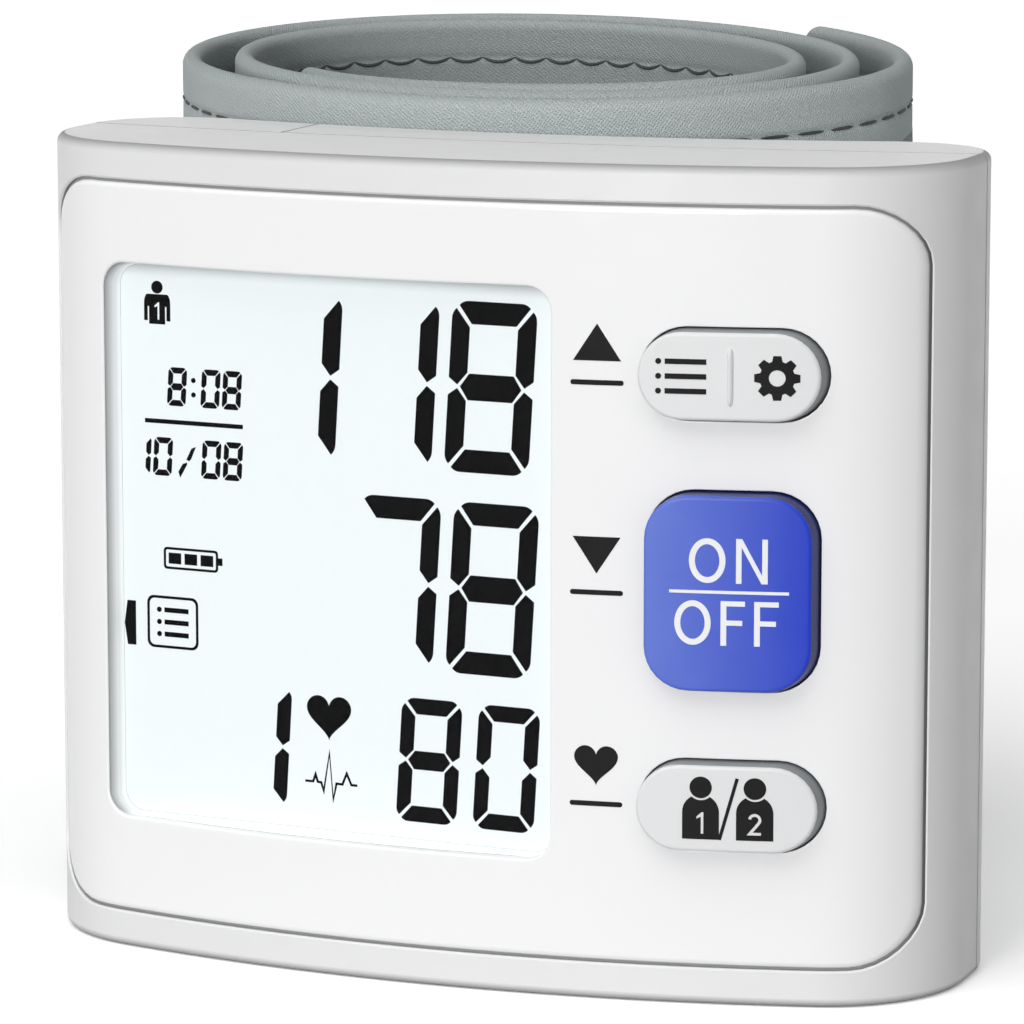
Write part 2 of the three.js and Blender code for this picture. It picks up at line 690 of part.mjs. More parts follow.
function batteryCradle() {
  const left = -HALF;
  const shell = toSolid(box(left, cradleRight + CRADLE_WALL, cradleFront, cellY + cellRadius / 2,
    shelfBottom - CRADLE_WALL, shelfTop + CRADLE_WALL));
  const pocket = toSolid(box(left - MARGIN, cradleRight, cradleFront + CRADLE_WALL,
    rearCentreY, shelfBottom, shelfTop));
  return shell.subtract(pocket).intersect(housingBlock(WALL + FIT, 0, HEIGHT));
}

add(housing, 'battery_cradle', toGeometry(batteryCradle()), COLORS.tray, 0.6);
cellX.forEach((x, i) => {
  add(housing, `battery_${i + 1}`, cell(x, i === 0), COLORS.cell, 0.4, 0.4);
});

const plateHalf = CONTACT_WIDTH / 2;
const plateBottom = shelfBottom + FIT;
const plateTop = shelfTop - FIT;

function plate(x0, x1, z0, z1) {
  return toSolid(box(x0 - plateHalf, x1 + plateHalf, cellY - plateHalf, cellY + plateHalf, z0, z1));
}

// Top plate joins the two cells; its boss meets the first cell's nub
const bridge = plate(cellX[0], cellX[1], plateTop - CONTACT_THICKNESS, plateTop)
  .add(toSolid(post(cellX[0], cellY, CONTACT_BOSS_RADIUS, cellTop + FIT, plateTop)));
const positive = plate(cellX[1], cellX[1], plateBottom, plateBottom + CONTACT_THICKNESS)
  .add(toSolid(post(cellX[1], cellY, CONTACT_BOSS_RADIUS, plateBottom, cellBottom - FIT)));
const negative = plate(cellX[0], cellX[0], plateBottom, plateBottom + CONTACT_THICKNESS);
add(housing, 'contact_bridge', toGeometry(bridge), COLORS.nickel, 0.35, 1);
add(housing, 'contact_positive', toGeometry(positive), COLORS.nickel, 0.35, 1);
add(housing, 'contact_negative', toGeometry(negative), COLORS.nickel, 0.35, 1);

const springFoot = CONTACT_THICKNESS + FIT + SPRING_WIRE / 2;
const springHeight = CONTACT_SPACE - FIT - springFoot - FIT - SPRING_WIRE / 2;
const SPRING_STEPS = 12;

// A cone spring wound as one wire, wide at the plate and narrow at the cell
function spring(x, foot, direction) {
  const rings = [];
  const steps = Math.round(SPRING_TURNS * SPRING_STEPS);
  for (let i = 0; i <= steps; i += 1) {
    const share = i / steps;
    const angle = share * SPRING_TURNS * Math.PI * 2;
    const radius = THREE.MathUtils.lerp(SPRING_WIDE_RADIUS, SPRING_NARROW_RADIUS, share);
    const height = foot + direction * springHeight * share;
    const ring = [];
    for (let j = 0; j < 6; j += 1) {
      const around = j / 6 * Math.PI * 2;
      const reach = radius + Math.cos(around) * SPRING_WIRE / 2;
      ring.push(new THREE.Vector3(
        x + Math.cos(angle) * reach,
        cellY + Math.sin(angle) * reach,
        height + Math.sin(around) * SPRING_WIRE / 2,
      ));
    }
    rings.push(ring);
  }
  return loft(rings);
}

add(housing, 'contact_spring_1', spring(cellX[0], plateBottom + springFoot, 1), COLORS.steel, 0.3, 1);
add(housing, 'contact_spring_2', spring(cellX[1], plateTop - springFoot, -1), COLORS.steel, 0.3, 1);

// Cuff: points along the coil. The angle falls from the free outer end inwards.

const bandHalf = BAND_THICKNESS / 2;
const coilPitch = BAND_THICKNESS + BAND_GAP;
const coilLong = WRIST_HALF_LONG + bandHalf + coilPitch * COIL_DEGREES / 360;
const coilShort = WRIST_HALF_SHORT + bandHalf + coilPitch * COIL_DEGREES / 360;
const coilInnerEnd = COIL_OUTER_END - COIL_DEGREES;
const coilTurn = THREE.MathUtils.degToRad(-COIL_TURN);

function spiral(degrees) {
  const shrink = coilPitch * (COIL_OUTER_END - degrees) / 360;
  const angle = THREE.MathUtils.degToRad(degrees);
  const x = (coilLong - shrink) * Math.cos(angle);
  const y = (coilShort - shrink) * Math.sin(angle);
  return new THREE.Vector2(x, y).rotateAround(new THREE.Vector2(), coilTurn);
}

// Centre line moved sideways: outward is positive
function coilOffset(degrees, offset) {
  const ahead = spiral(degrees + 0.5).sub(spiral(degrees - 0.5)).normalize();
  return spiral(degrees).add(new THREE.Vector2(ahead.y, -ahead.x).multiplyScalar(offset));
}

function frontmost() {
  let best = { y: Infinity, degrees: 0 };
  for (let degrees = 0; degrees > -180; degrees -= 0.5) {
    const { y } = coilOffset(degrees, bandHalf);
    if (y < best.y) {
      best = { y, degrees };
    }
  }
  return best;
}

const cuffFront = rearMiddle + SADDLE_THICKNESS;
const nearest = frontmost();
const coilY = cuffFront - nearest.y;

function coilPoint(degrees, offset) {
  const point = coilOffset(degrees, offset);
  return point.add(new THREE.Vector2(-COIL_SHIFT, coilY));
}

function upperEdge(y) {
  return HEIGHT + CUFF_RISE + CUFF_SLOPE * (y - cuffFront);
}

function stations(start, end) {
  const count = Math.max(2, Math.round(Math.abs(start - end) / STATION_DEGREES));
  return Array.from({ length: count + 1 }, (_, i) => start + (end - start) * i / count);
}

// A stretch of band between two offsets, with rounded edges
function bandStretch(start, end, inner, outer, bottom, below, round) {
  const rings = stations(start, end).map((degrees) => {
    const top = upperEdge(coilPoint(degrees, 0).y) - below;
    const section = round > 0
      ? [[outer, bottom + round], [outer, top - round], [outer - round, top], [inner + round, top],
        [inner, top - round], [inner, bottom + round], [inner + round, bottom], [outer - round, bottom]]
      : [[outer, bottom], [outer, top], [inner, top], [inner, bottom]];
    return section.map(([offset, z]) => {
      const point = coilPoint(degrees, offset);
      return new THREE.Vector3(point.x, point.y, z);
    });
  });
  return loft(rings);
}

const nozzleX = coilPoint(nearest.degrees, 0).x;
const pocketOuter = bandHalf - CLOTH;
const pocketInner = CLOTH - bandHalf;
const flapGap = FIT / coilLong * 180 / Math.PI;

function cuffBand() {
  const band = toSolid(bandStretch(FLAP_ROOT - flapGap, coilInnerEnd, -bandHalf, bandHalf, 0, 0, BAND_ROUND));
  const pocket = toSolid(bandStretch(POCKET_START, POCKET_END, pocketInner, pocketOuter,
    POCKET_HEM, POCKET_HEM, 0));
  const hole = toSolid(rod(nozzleX, HEIGHT / 2, NOZZLE_RADIUS + FIT, rearMiddle,
    cuffFront + bandHalf));
  return band.subtract(pocket).subtract(hole);
}

add(housing, 'cuff_band', toGeometry(cuffBand()), COLORS.cloth, 0.9);
add(housing, 'cuff_flap',
  bandStretch(COIL_OUTER_END, FLAP_ROOT + flapGap, -bandHalf, bandHalf, 0, 0, BAND_ROUND),
  COLORS.cloth, 0.9);

// Inside the pocket: the air bladder lies on the wrist side, the springy shaper outside it
const fillStart = POCKET_START - STATION_DEGREES / 2;
const fillEnd = POCKET_END + STATION_DEGREES / 2;
const bladderInner = pocketInner + POCKET_FIT;
const bladderOuter = bladderInner + BLADDER_THICKNESS;
const shaperInner = bladderOuter + POCKET_FIT;
const fillEdge = POCKET_HEM + FIT;
add(housing, 'cuff_bladder',
  bandStretch(fillStart, fillEnd, bladderInner, bladderOuter, fillEdge, fillEdge, 0), COLORS.film, 0.4);

function cuffShaper() {
  const sheet = toSolid(bandStretch(fillStart, fillEnd, shaperInner, shaperInner + SHAPER_THICKNESS,
    fillEdge, fillEdge, 0));
  return sheet.subtract(toSolid(rod(nozzleX, HEIGHT / 2, NOZZLE_RADIUS + FIT, rearMiddle,
    cuffFront + BAND_THICKNESS)));
}

add(housing, 'cuff_shaper', toGeometry(cuffShaper()), COLORS.film, 0.3);

// Hook and loop patches that close the coil
const patchStart = COIL_OUTER_END - STATION_DEGREES;
const patchEnd = patchStart - PATCH_DEGREES;
const hookOuter = -bandHalf - PATCH_FIT;
const loopInner = bandHalf + PATCH_FIT;
add(housing, 'hook_patch',
  bandStretch(patchStart, patchEnd, hookOuter - PATCH_THICKNESS, hookOuter, PATCH_EDGE, PATCH_EDGE, 0),
  COLORS.patch, 0.95);
add(housing, 'loop_patch',
  bandStretch(patchStart - 360, patchEnd - 360, loopInner, loopInner + PATCH_THICKNESS,
    PATCH_EDGE, PATCH_EDGE, 0), COLORS.patch, 0.95);

// Least gap of the coil to itself, measured on its surface points one turn apart
function leastCoilGap() {
  const inner = stations(COIL_OUTER_END, coilInnerEnd + 360).map((d) => coilPoint(d, -bandHalf));
  const outer = stations(COIL_OUTER_END - 360, coilInnerEnd).map((d) => coilPoint(d, bandHalf));
  let least = Infinity;
  inner.forEach((a, i) => outer.slice(Math.max(0, i - 6), i + 7).forEach((b) => {
    least = Math.min(least, a.distanceTo(b));
  }));
  return least;
}

console.log(`Least gap between turns of the cuff: ${leastCoilGap().toFixed(2)} mm`);

// Saddle between the hollow rear face and the round of the coil

function saddle() {
  const start = nearest.degrees + SADDLE_HALF_DEGREES;
  const end = nearest.degrees - SADDLE_HALF_DEGREES;
  const back = stations(start, end).map((degrees) => coilPoint(degrees, bandHalf + FIT));
  const shape = new THREE.Shape(back);
  const [right, left] = [back[0].x, back[back.length - 1].x];
  const steps = stations(0, 180).length;
  for (let i = 0; i <= steps; i += 1) {
    const x = THREE.MathUtils.lerp(left, right, i / steps);
    shape.lineTo(x, rearY(x, 0) + FIT);
  }
  const block = toSolid(prism(shape, SADDLE_EDGE, HEIGHT - SADDLE_EDGE));
  return block.subtract(toSolid(rod(nozzleX, HEIGHT / 2, NOZZLE_RADIUS + FIT, 0, rearCentreY)));
}

add(housing, 'cuff_saddle', toGeometry(saddle()), COLORS.shell, 0.5);
add(housing, 'rear_shell', toGeometry(rearShell(nozzleX)), COLORS.shell, 0.45);
add(housing, 'battery_door', toGeometry(batteryDoor()), COLORS.shell, 0.45);
caseScrews.forEach(([x, z], i) => {
  const shape = screw(x, z, rearY(x, 0) - SCREW_SINK, SCREW_LENGTH);
  add(housing, `case_screw_${i + 1}`, shape, COLORS.steel, 0.3, 1);
});

// Air system: pump, manifold behind the nozzle, valve below it and sensor above it

const pumpHalf = PUMP_DIAMETER / 2;
const headBottom = MOTOR_BOTTOM + MOTOR_LENGTH + FIT;
add(housing, 'pump_motor', post(pumpX, pumpY, pumpHalf, MOTOR_BOTTOM, MOTOR_BOTTOM + MOTOR_LENGTH),
  COLORS.steel, 0.35, 1);
add(housing, 'pump_head', post(pumpX, pumpY, pumpHalf, headBottom, headBottom + PUMP_HEAD_HEIGHT),
  COLORS.dark, 0.5);

const manifoldX = nozzleX;
const manifoldHalf = MANIFOLD_WIDTH / 2;
const manifoldRear = rearY(Math.max(0, Math.abs(manifoldX) - manifoldHalf), WALL) - FIT;
const manifoldFront = boardBack + FIT;
const manifoldY = (manifoldFront + manifoldRear) / 2;
const manifoldBottom = HEIGHT / 2 - MANIFOLD_HEIGHT / 2;
const manifoldTop = HEIGHT / 2 + MANIFOLD_HEIGHT / 2;

function airManifold() {
  const block = toSolid(box(manifoldX - manifoldHalf, manifoldX + manifoldHalf,
    manifoldFront, manifoldRear, manifoldBottom, manifoldTop));
  return block.subtract(toSolid(rod(nozzleX, HEIGHT / 2, NOZZLE_RADIUS + FIT,
    manifoldRear - NOZZLE_PLUG - FIT, rearCentreY)));
}

add(housing, 'air_manifold', toGeometry(airManifold()), COLORS.valve, 0.5);

function airNozzle() {
  const front = manifoldRear - NOZZLE_PLUG;
  const back = cuffFront + CLOTH;
  const pipe = toSolid(rod(nozzleX, HEIGHT / 2, NOZZLE_RADIUS, front, back));
  return pipe.subtract(toSolid(rod(nozzleX, HEIGHT / 2, NOZZLE_BORE, front - FIT, back + FIT)));
}

add(housing, 'air_nozzle', toGeometry(airNozzle()), COLORS.tray, 0.4);

const valveTop = manifoldBottom - TUBE_RUN;
const sensorBottom = manifoldTop + TUBE_RUN;
add(housing, 'bleed_valve', post(manifoldX, valveY, VALVE_DIAMETER / 2, valveTop - VALVE_LENGTH, valveTop),
  COLORS.valve, 0.4, 0.8);
add(housing, 'pressure_sensor', box(manifoldX - manifoldHalf, manifoldX + manifoldHalf,
  partFront, manifoldRear, sensorBottom, sensorBottom + SENSOR_HEIGHT), COLORS.dark, 0.5);

function point(x, y, z) {
  return new THREE.Vector3(x, y, z);
}

function uprightTube(z0, z1) {
  return tube([point(manifoldX, valveY, z0 + FIT), point(manifoldX, valveY, z1 - FIT)], TUBE_RADIUS);
}

const headZ = headBottom + PUMP_HEAD_HEIGHT / 2;
const tubeStart = manifoldX + manifoldHalf + FIT;
const tubeEnd = pumpX - pumpHalf - FIT;
add(housing, 'air_tube_pump', tube([
  point(tubeStart, manifoldY, HEIGHT / 2),
  point(tubeStart + 2 * TUBE_RADIUS, manifoldY, HEIGHT / 2),
  point(tubeEnd - 2 * TUBE_RADIUS, pumpY, headZ),
  point(tubeEnd, pumpY, headZ),
], TUBE_RADIUS), COLORS.hose, 0.5);
add(housing, 'air_tube_valve', uprightTube(valveTop, manifoldBottom), COLORS.hose, 0.5);
add(housing, 'air_tube_sensor', uprightTube(manifoldTop, sensorBottom), COLORS.hose, 0.5);

// Move the origin under the middle of the whole object
const monitor = new THREE.Group();
monitor.add(housing);
monitor.updateMatrixWorld(true);
const bounds = new THREE.Box3().setFromObject(monitor, true);
const middle = bounds.getCenter(new THREE.Vector3());
housing.position.set(-middle.x, -middle.y, -bounds.min.z);

export default monitor;
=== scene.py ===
from math import asin, atan2, ceil, cos, dist, exp, hypot, pi, radians, sin, sqrt

import bmesh
import bpy
import numpy as np
from mathutils import Matrix, Vector
from mathutils.geometry import delaunay_2d_cdt


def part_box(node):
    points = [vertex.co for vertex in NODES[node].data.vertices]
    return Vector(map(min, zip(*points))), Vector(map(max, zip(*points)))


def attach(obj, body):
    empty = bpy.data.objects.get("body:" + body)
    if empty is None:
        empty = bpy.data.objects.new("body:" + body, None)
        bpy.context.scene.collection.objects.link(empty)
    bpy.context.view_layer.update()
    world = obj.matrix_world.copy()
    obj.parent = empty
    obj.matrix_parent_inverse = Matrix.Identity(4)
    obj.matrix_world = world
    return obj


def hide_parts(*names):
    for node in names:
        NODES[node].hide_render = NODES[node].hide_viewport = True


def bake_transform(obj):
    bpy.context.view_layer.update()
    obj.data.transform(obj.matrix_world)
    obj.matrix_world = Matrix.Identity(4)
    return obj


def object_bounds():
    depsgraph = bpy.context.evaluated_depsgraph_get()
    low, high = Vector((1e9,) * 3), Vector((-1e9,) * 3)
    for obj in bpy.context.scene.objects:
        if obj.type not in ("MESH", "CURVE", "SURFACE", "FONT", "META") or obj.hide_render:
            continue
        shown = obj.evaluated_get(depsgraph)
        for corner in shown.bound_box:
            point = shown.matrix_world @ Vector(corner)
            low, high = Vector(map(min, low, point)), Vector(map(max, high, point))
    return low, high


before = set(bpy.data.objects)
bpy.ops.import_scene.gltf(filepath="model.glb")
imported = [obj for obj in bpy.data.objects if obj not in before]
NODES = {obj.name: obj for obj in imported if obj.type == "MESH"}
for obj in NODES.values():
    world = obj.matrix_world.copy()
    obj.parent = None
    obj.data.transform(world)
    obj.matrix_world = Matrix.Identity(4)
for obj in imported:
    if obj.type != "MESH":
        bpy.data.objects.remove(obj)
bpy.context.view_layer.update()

SCENE = bpy.context.scene

# Shapes are drawn in millimetres. X = 0 is the middle of the housing, Y = 0 its front, Z = 0 the floor.
MM = 0.001
SHELL_LOW, SHELL_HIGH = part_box("front_shell")
ORIGIN = Vector(((SHELL_LOW.x + SHELL_HIGH.x) / 2, SHELL_LOW.y, SHELL_LOW.z))
TO_FRAME = Matrix.Translation(ORIGIN) @ Matrix.Scale(MM, 4)


def inner_box(node):
    """A CAD node's corners in millimetres, in the housing's own axes."""
    return [(corner - ORIGIN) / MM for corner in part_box(node)]


# Housing, as in the solids
HALF = 38.65
HEIGHT = 66.0
FRONT_RADIUS, FRONT_CORNER = 116.0, 12.0
REAR_RADIUS, REAR_CORNER = 104.0, 8.0
PARTING_RADIUS, PARTING_DEPTH, PARTING_GAP = 200.0, 15.3, 0.2
FILLET = 0.7
WALL = 2.0
FIT = 0.25
SEAM_X = -HALF + 18.45
REACH = 20.0
FASCIA = (0.0, HEIGHT / 2, 73.5, 59.6, 4.6)
FASCIA_THICKNESS = 0.9
WINDOW_WIDTH, WINDOW_HEIGHT, WINDOW_CORNER = 39.2, 45.4, 2.0
WINDOW_X, WINDOW_Z = -10.5, 33.65
KEY_X, START_Z, KEY_PITCH = 23.35, 33.0, 16.95
KEY_RISE, KEY_BACK = 1.6, 8.26
PILL = (14.2, 7.1, 3.55)
START = (13.1, 15.6, 3.6)
KEY_CLEARANCE = 0.25
FLANGE = 0.8
ROCKER_RISE = 0.413
MARK_Z, USER_Z = START_Z + KEY_PITCH, START_Z - KEY_PITCH

FRONT_CORNER_X = HALF - FRONT_CORNER
FRONT_CORNER_Y = FRONT_RADIUS - sqrt((FRONT_RADIUS - FRONT_CORNER) ** 2 - FRONT_CORNER_X ** 2)
FRONT_ANGLE = asin(FRONT_CORNER_X / (FRONT_RADIUS - FRONT_CORNER))
REAR_CORNER_X = HALF - REAR_CORNER
REAR_DROP = sqrt((REAR_RADIUS + REAR_CORNER) ** 2 - REAR_CORNER_X ** 2)
REAR_CORNER_Y = inner_box("rear_shell")[1].y - REAR_CORNER
REAR_CENTRE_Y = REAR_CORNER_Y + REAR_DROP
REAR_ANGLE = atan2(REAR_DROP, -REAR_CORNER_X)


def front_y(x, depth):
    """Depth of the curved front at x, moved inward by depth."""
    side = abs(x)
    if side < (FRONT_RADIUS - depth) * sin(FRONT_ANGLE):
        return FRONT_RADIUS - sqrt((FRONT_RADIUS - depth) ** 2 - side ** 2)
    return FRONT_CORNER_Y - sqrt(max(0.0, (FRONT_CORNER - depth) ** 2 - (side - FRONT_CORNER_X) ** 2))


def rear_y(x):
    return REAR_CENTRE_Y - sqrt(REAR_RADIUS ** 2 - x * x)


def parting_y(x, shift=0.0):
    return PARTING_DEPTH + PARTING_RADIUS - sqrt((PARTING_RADIUS - shift) ** 2 - x * x)


# Mesh helpers

def ease(share):
    share = min(1.0, max(0.0, share))
    return share * share * (3 - 2 * share)


def add_object(name, data):
    ob = bpy.data.objects.new(name, data)
    SCENE.collection.objects.link(ob)
    return ob


def new_object(name, verts, faces):
    mesh = bpy.data.meshes.new(name)
    mesh.from_pydata([tuple(v) for v in verts], [], faces)
    shape = bmesh.new()
    shape.from_mesh(mesh)
    bmesh.ops.recalc_face_normals(shape, faces=shape.faces)
    shape.to_mesh(mesh)
    shape.free()
    return add_object(name, mesh)


def quads(a, b):
    """Faces between two closed rings of vertex numbers."""
    count = len(a)
    return [(a[j], a[(j + 1) % count], b[(j + 1) % count], b[j]) for j in range(count)]


def loft(rings):
    """Verts and faces of a closed body through equal rings."""
    count = len(rings[0])
    verts = [p for ring in rings for p in ring]
    numbers = [range(a, a + count) for a in range(0, len(verts), count)]
    faces = [face for a, b in zip(numbers, numbers[1:]) for face in quads(a, b)]
    return verts, faces + [tuple(numbers[0]), tuple(numbers[-1])]


def boolean(ob, operation, tools):
    for tool in tools:
        change = ob.modifiers.new("change", "BOOLEAN")
        change.operation = operation
        change.solver = "EXACT"
        change.object = tool
        graph = bpy.context.evaluated_depsgraph_get()
        mesh = bpy.data.meshes.new_from_object(ob.evaluated_get(graph))
        ob.modifiers.clear()
        ob.data = mesh
        bpy.data.objects.remove(tool)
    return ob


def cut(ob, *tools):
    return boolean(ob, "DIFFERENCE", tools)


def unite(ob, *tools):
    return boolean(ob, "UNION", tools)


def keep_within(ob, tool):
    return boolean(ob, "INTERSECT", [tool])


def to_frame(ob, materials=(), sharp=None):
    """Takes a finished shape from millimetres into the frame's metres and shades it smooth."""
    ob.data.transform(TO_FRAME)
    ob.data.polygons.foreach_set("use_smooth", [True] * len(ob.data.polygons))
    if sharp:
        ob.data.set_sharp_from_angle(angle=radians(sharp))
    for mat in materials:
        ob.data.materials.append(mat)
    return ob


def declare(ob, slot, replaced):
    if replaced:
        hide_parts(*replaced)
    return ob


def seat(ob, body, slot, materials=(), replaced=(), sharp=35):
    """Puts a finished shape into the frame, on its body."""
    to_frame(ob, materials, sharp)
    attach(ob, body)
    return declare(ob, slot, replaced)


def two_tone(ob, first, second, is_second):
    """Gives the second material to the polygons whose corners pass the test."""
    ob.data.materials.append(first)
    ob.data.materials.append(second)
    for polygon in ob.data.polygons:
        corners = [ob.data.vertices[i].co for i in polygon.vertices]
        polygon.material_index = 1 if is_second(corners) else 0
    return ob


def map_corners(ob, name, place):
    """A UV layer; place gives the pair for a vertex number, from the polygon's vertex numbers."""
    layer = ob.data.uv_layers.new(name=name)
    for polygon in ob.data.polygons:
        for loop, i in zip(polygon.loop_indices, polygon.vertices):
            layer.data[loop].uv = place(i, polygon.vertices)


def arc(x, y, radius, start, end, count, last=0):
    """Points along an arc. Its end is left out, unless last is 1."""
    angles = [start + (end - start) * i / count for i in range(count + last)]
    return [(x + radius * cos(a), y + radius * sin(a)) for a in angles]


def circle(x, z, radius, count=40):
    return arc(x, z, radius, 0, 2 * pi, count)


def outline(inset):
    """The housing from above, drawn inward by the inset."""
    right = FRONT_ANGLE - pi / 2
    left = -FRONT_ANGLE - pi / 2
    front, rear = FRONT_CORNER - inset, REAR_CORNER - inset
    points = arc(0, FRONT_RADIUS, FRONT_RADIUS - inset, left, right, 72)
    points += arc(FRONT_CORNER_X, FRONT_CORNER_Y, front, right, 0, 24, last=1)
    points += arc(REAR_CORNER_X, REAR_CORNER_Y, rear, 0, REAR_ANGLE, 24)
    points += arc(0, REAR_CENTRE_Y, REAR_RADIUS + inset, REAR_ANGLE - pi, -REAR_ANGLE, 56)
    points += arc(-REAR_CORNER_X, REAR_CORNER_Y, rear, pi - REAR_ANGLE, pi, 24, last=1)
    points += arc(-FRONT_CORNER_X, FRONT_CORNER_Y, front, pi, 2 * pi + left, 24)
    return points


FLAT_RIM = 0.06


def housing_block(inset, z0, z1, fillet=0.0):
    """The housing's body. Narrow extra rings beside the fillets keep the flat faces' shading flat."""
    levels = [(inset, z0), (inset, z1)]
    if fillet:
        turn = [radians(a) for a in (0, 15, 30, 45, 60, 75, 90)]
        low = [(inset + fillet * (1 - sin(t)), z0 + fillet * (1 - cos(t))) for t in turn]
        low = [(inset + fillet + FLAT_RIM, z0)] + low + [(inset, z0 + fillet + FLAT_RIM)]
        levels = low + [(i, z0 + z1 - z) for i, z in reversed(low)]
    return new_object("block", *loft([[(x, y, z) for x, y in outline(i)] for i, z in levels]))


def prism_z(points, z0, z1):
    return new_object("prism", *loft([[(x, y, z) for x, y in points] for z in (z0, z1)]))


def prism_y(points, y0, y1):
    return new_object("prism", *loft([[(x, y, z) for x, z in points] for y in (y0, y1)]))


def rectangle(x0, x1, z0, z1):
    return [(x0, z0), (x1, z0), (x1, z1), (x0, z1)]


def box(x0, x1, y0, y1, z0, z1):
    return prism_z(rectangle(x0, x1, y0, y1), z0, z1)


def rounded_loop(spec, grow=0.0, steps=8, spacing=1.0):
    """A rounded rectangle in X and Z, with the same number of points for every grow."""
    x, z, width, height, radius = spec
    w, h, r = width / 2 + grow, height / 2 + grow, radius + grow
    runs = [height - 2 * radius, width - 2 * radius] * 2
    corners = []
    quarter = pi / 2
    for i, (side, rise) in enumerate(((1, -1), (1, 1), (-1, 1), (-1, -1))):
        cx, cz = x + side * (w - r), z + rise * (h - r)
        corners.append(arc(cx, cz, r, (i - 1) * quarter, i * quarter, steps, last=1))
    points = []
    for i, corner in enumerate(corners):
        following = corners[(i + 1) % 4][0]
        if runs[i] < 1e-6:
            points += corner[:-1]
            continue
        count = max(1, round(runs[i] / spacing))
        points += corner
        points += [tuple(np.array(corner[-1]) * (1 - k / count) + np.array(following) * k / count)
                   for k in range(1, count)]
    return points


def crossings(points, loops):
    """How many loops each point lies in."""
    inside = np.zeros(len(points), int)
    for loop in loops:
        a = np.array(loop, float)
        b = np.roll(a, -1, axis=0)
        px, pz = points[:, :1], points[:, 1:]
        spans = (a[:, 1] > pz) != (b[:, 1] > pz)
        run = np.where(b[:, 1] == a[:, 1], 1e-12, b[:, 1] - a[:, 1])
        meets = px < a[:, 0] + (pz - a[:, 1]) * (b[:, 0] - a[:, 0]) / run
        inside += (spans & meets).sum(axis=1) % 2
    return inside


def clear_of(points, loops, margin):
    """Which points keep a margin from every loop."""
    keep = np.ones(len(points), bool)
    for loop in loops:
        a = np.array(loop, float)
        along = np.roll(a, -1, axis=0) - a
        size = np.maximum((along ** 2).sum(axis=1), 1e-12)
        away = points[:, None, :] - a[None]
        share = np.clip((away * along[None]).sum(axis=2) / size, 0, 1)
        gap = np.linalg.norm(away - share[..., None] * along[None], axis=2)
        keep &= gap.min(axis=1) > margin
    return keep


GRID_CLEARANCE, SNAP = 0.3, 1e-7


def fill(loops, columns, rows):
    """Points and triangles of the area between loops, with a grid of points in it."""
    points = [tuple(p) for loop in loops for p in loop]
    edges = []
    start = 0
    for loop in loops:
        edges += [(start + i, start + (i + 1) % len(loop)) for i in range(len(loop))]
        start += len(loop)
    if len(columns) and len(rows):
        grid = np.array([(x, z) for x in columns for z in rows], float)
        step = min(abs(columns[1] - columns[0]), abs(rows[1] - rows[0]))
        grid = grid[(crossings(grid, loops) % 2 == 1) & clear_of(grid, loops, GRID_CLEARANCE * step)]
        points += [tuple(p) for p in grid]
    found = delaunay_2d_cdt([Vector(p) for p in points], edges, [], 0, SNAP)
    index = [source[0] for source in found[3]]
    faces = [tuple(index[i] for i in face) for face in found[2]]
    middle = np.array([np.mean([points[i] for i in face], axis=0) for face in faces])
    inside = crossings(middle, loops) % 2 == 1
    return points, [face for face, kept in zip(faces, inside) if kept]


def at_depth(depth):
    return lambda x: front_y(x, depth)


def at_y(y):
    return lambda x: y


def plate(name, parts, columns, rows):
    """A solid with a face in front and behind. Each part is an outline and its levels, from the face
    to the back: how far the outline grows, and the depth there."""
    front = fill([rounded_loop(spec, levels[0][0]) for spec, levels in parts], columns, rows)
    back = fill([rounded_loop(spec, levels[-1][0]) for spec, levels in parts], columns, rows)
    front_at, back_at = parts[0][1][0][1], parts[0][1][-1][1]
    verts = [(x, front_at(x), z) for x, z in front[0]]
    faces = list(front[1])
    shift = len(verts)
    verts += [(x, back_at(x), z) for x, z in back[0]]
    faces += [tuple(i + shift for i in reversed(face)) for face in back[1]]
    first = 0
    for spec, levels in parts:
        count = len(rounded_loop(spec))
        rings = [range(first, first + count)]
        for grow, depth in levels[1:-1]:
            rings.append(range(len(verts), len(verts) + count))
            verts += [(x, depth(x), z) for x, z in rounded_loop(spec, grow)]
        rings.append([i + shift for i in rings[0]])
        for a, b in zip(rings, rings[1:]):
            faces += quads(a, b)
        first += count
    return new_object(name, verts, faces)


WIDE = [FRONT_RADIUS * sin(FRONT_ANGLE) * i / 24 for i in range(-24, 25)]
TIGHT = [FRONT_CORNER_X + FRONT_CORNER * sin(FRONT_ANGLE + radians(4) * i) for i in range(1, 12)]
FRONT_COLUMNS = [-x for x in reversed(TIGHT)] + WIDE + TIGHT
FRONT_ROWS = [2.0 * i for i in range(1, 33)]


# Materials: a small builder of node trees, then one function for each kind of surface

def shade(color, factor):
    return tuple(c * factor for c in color)


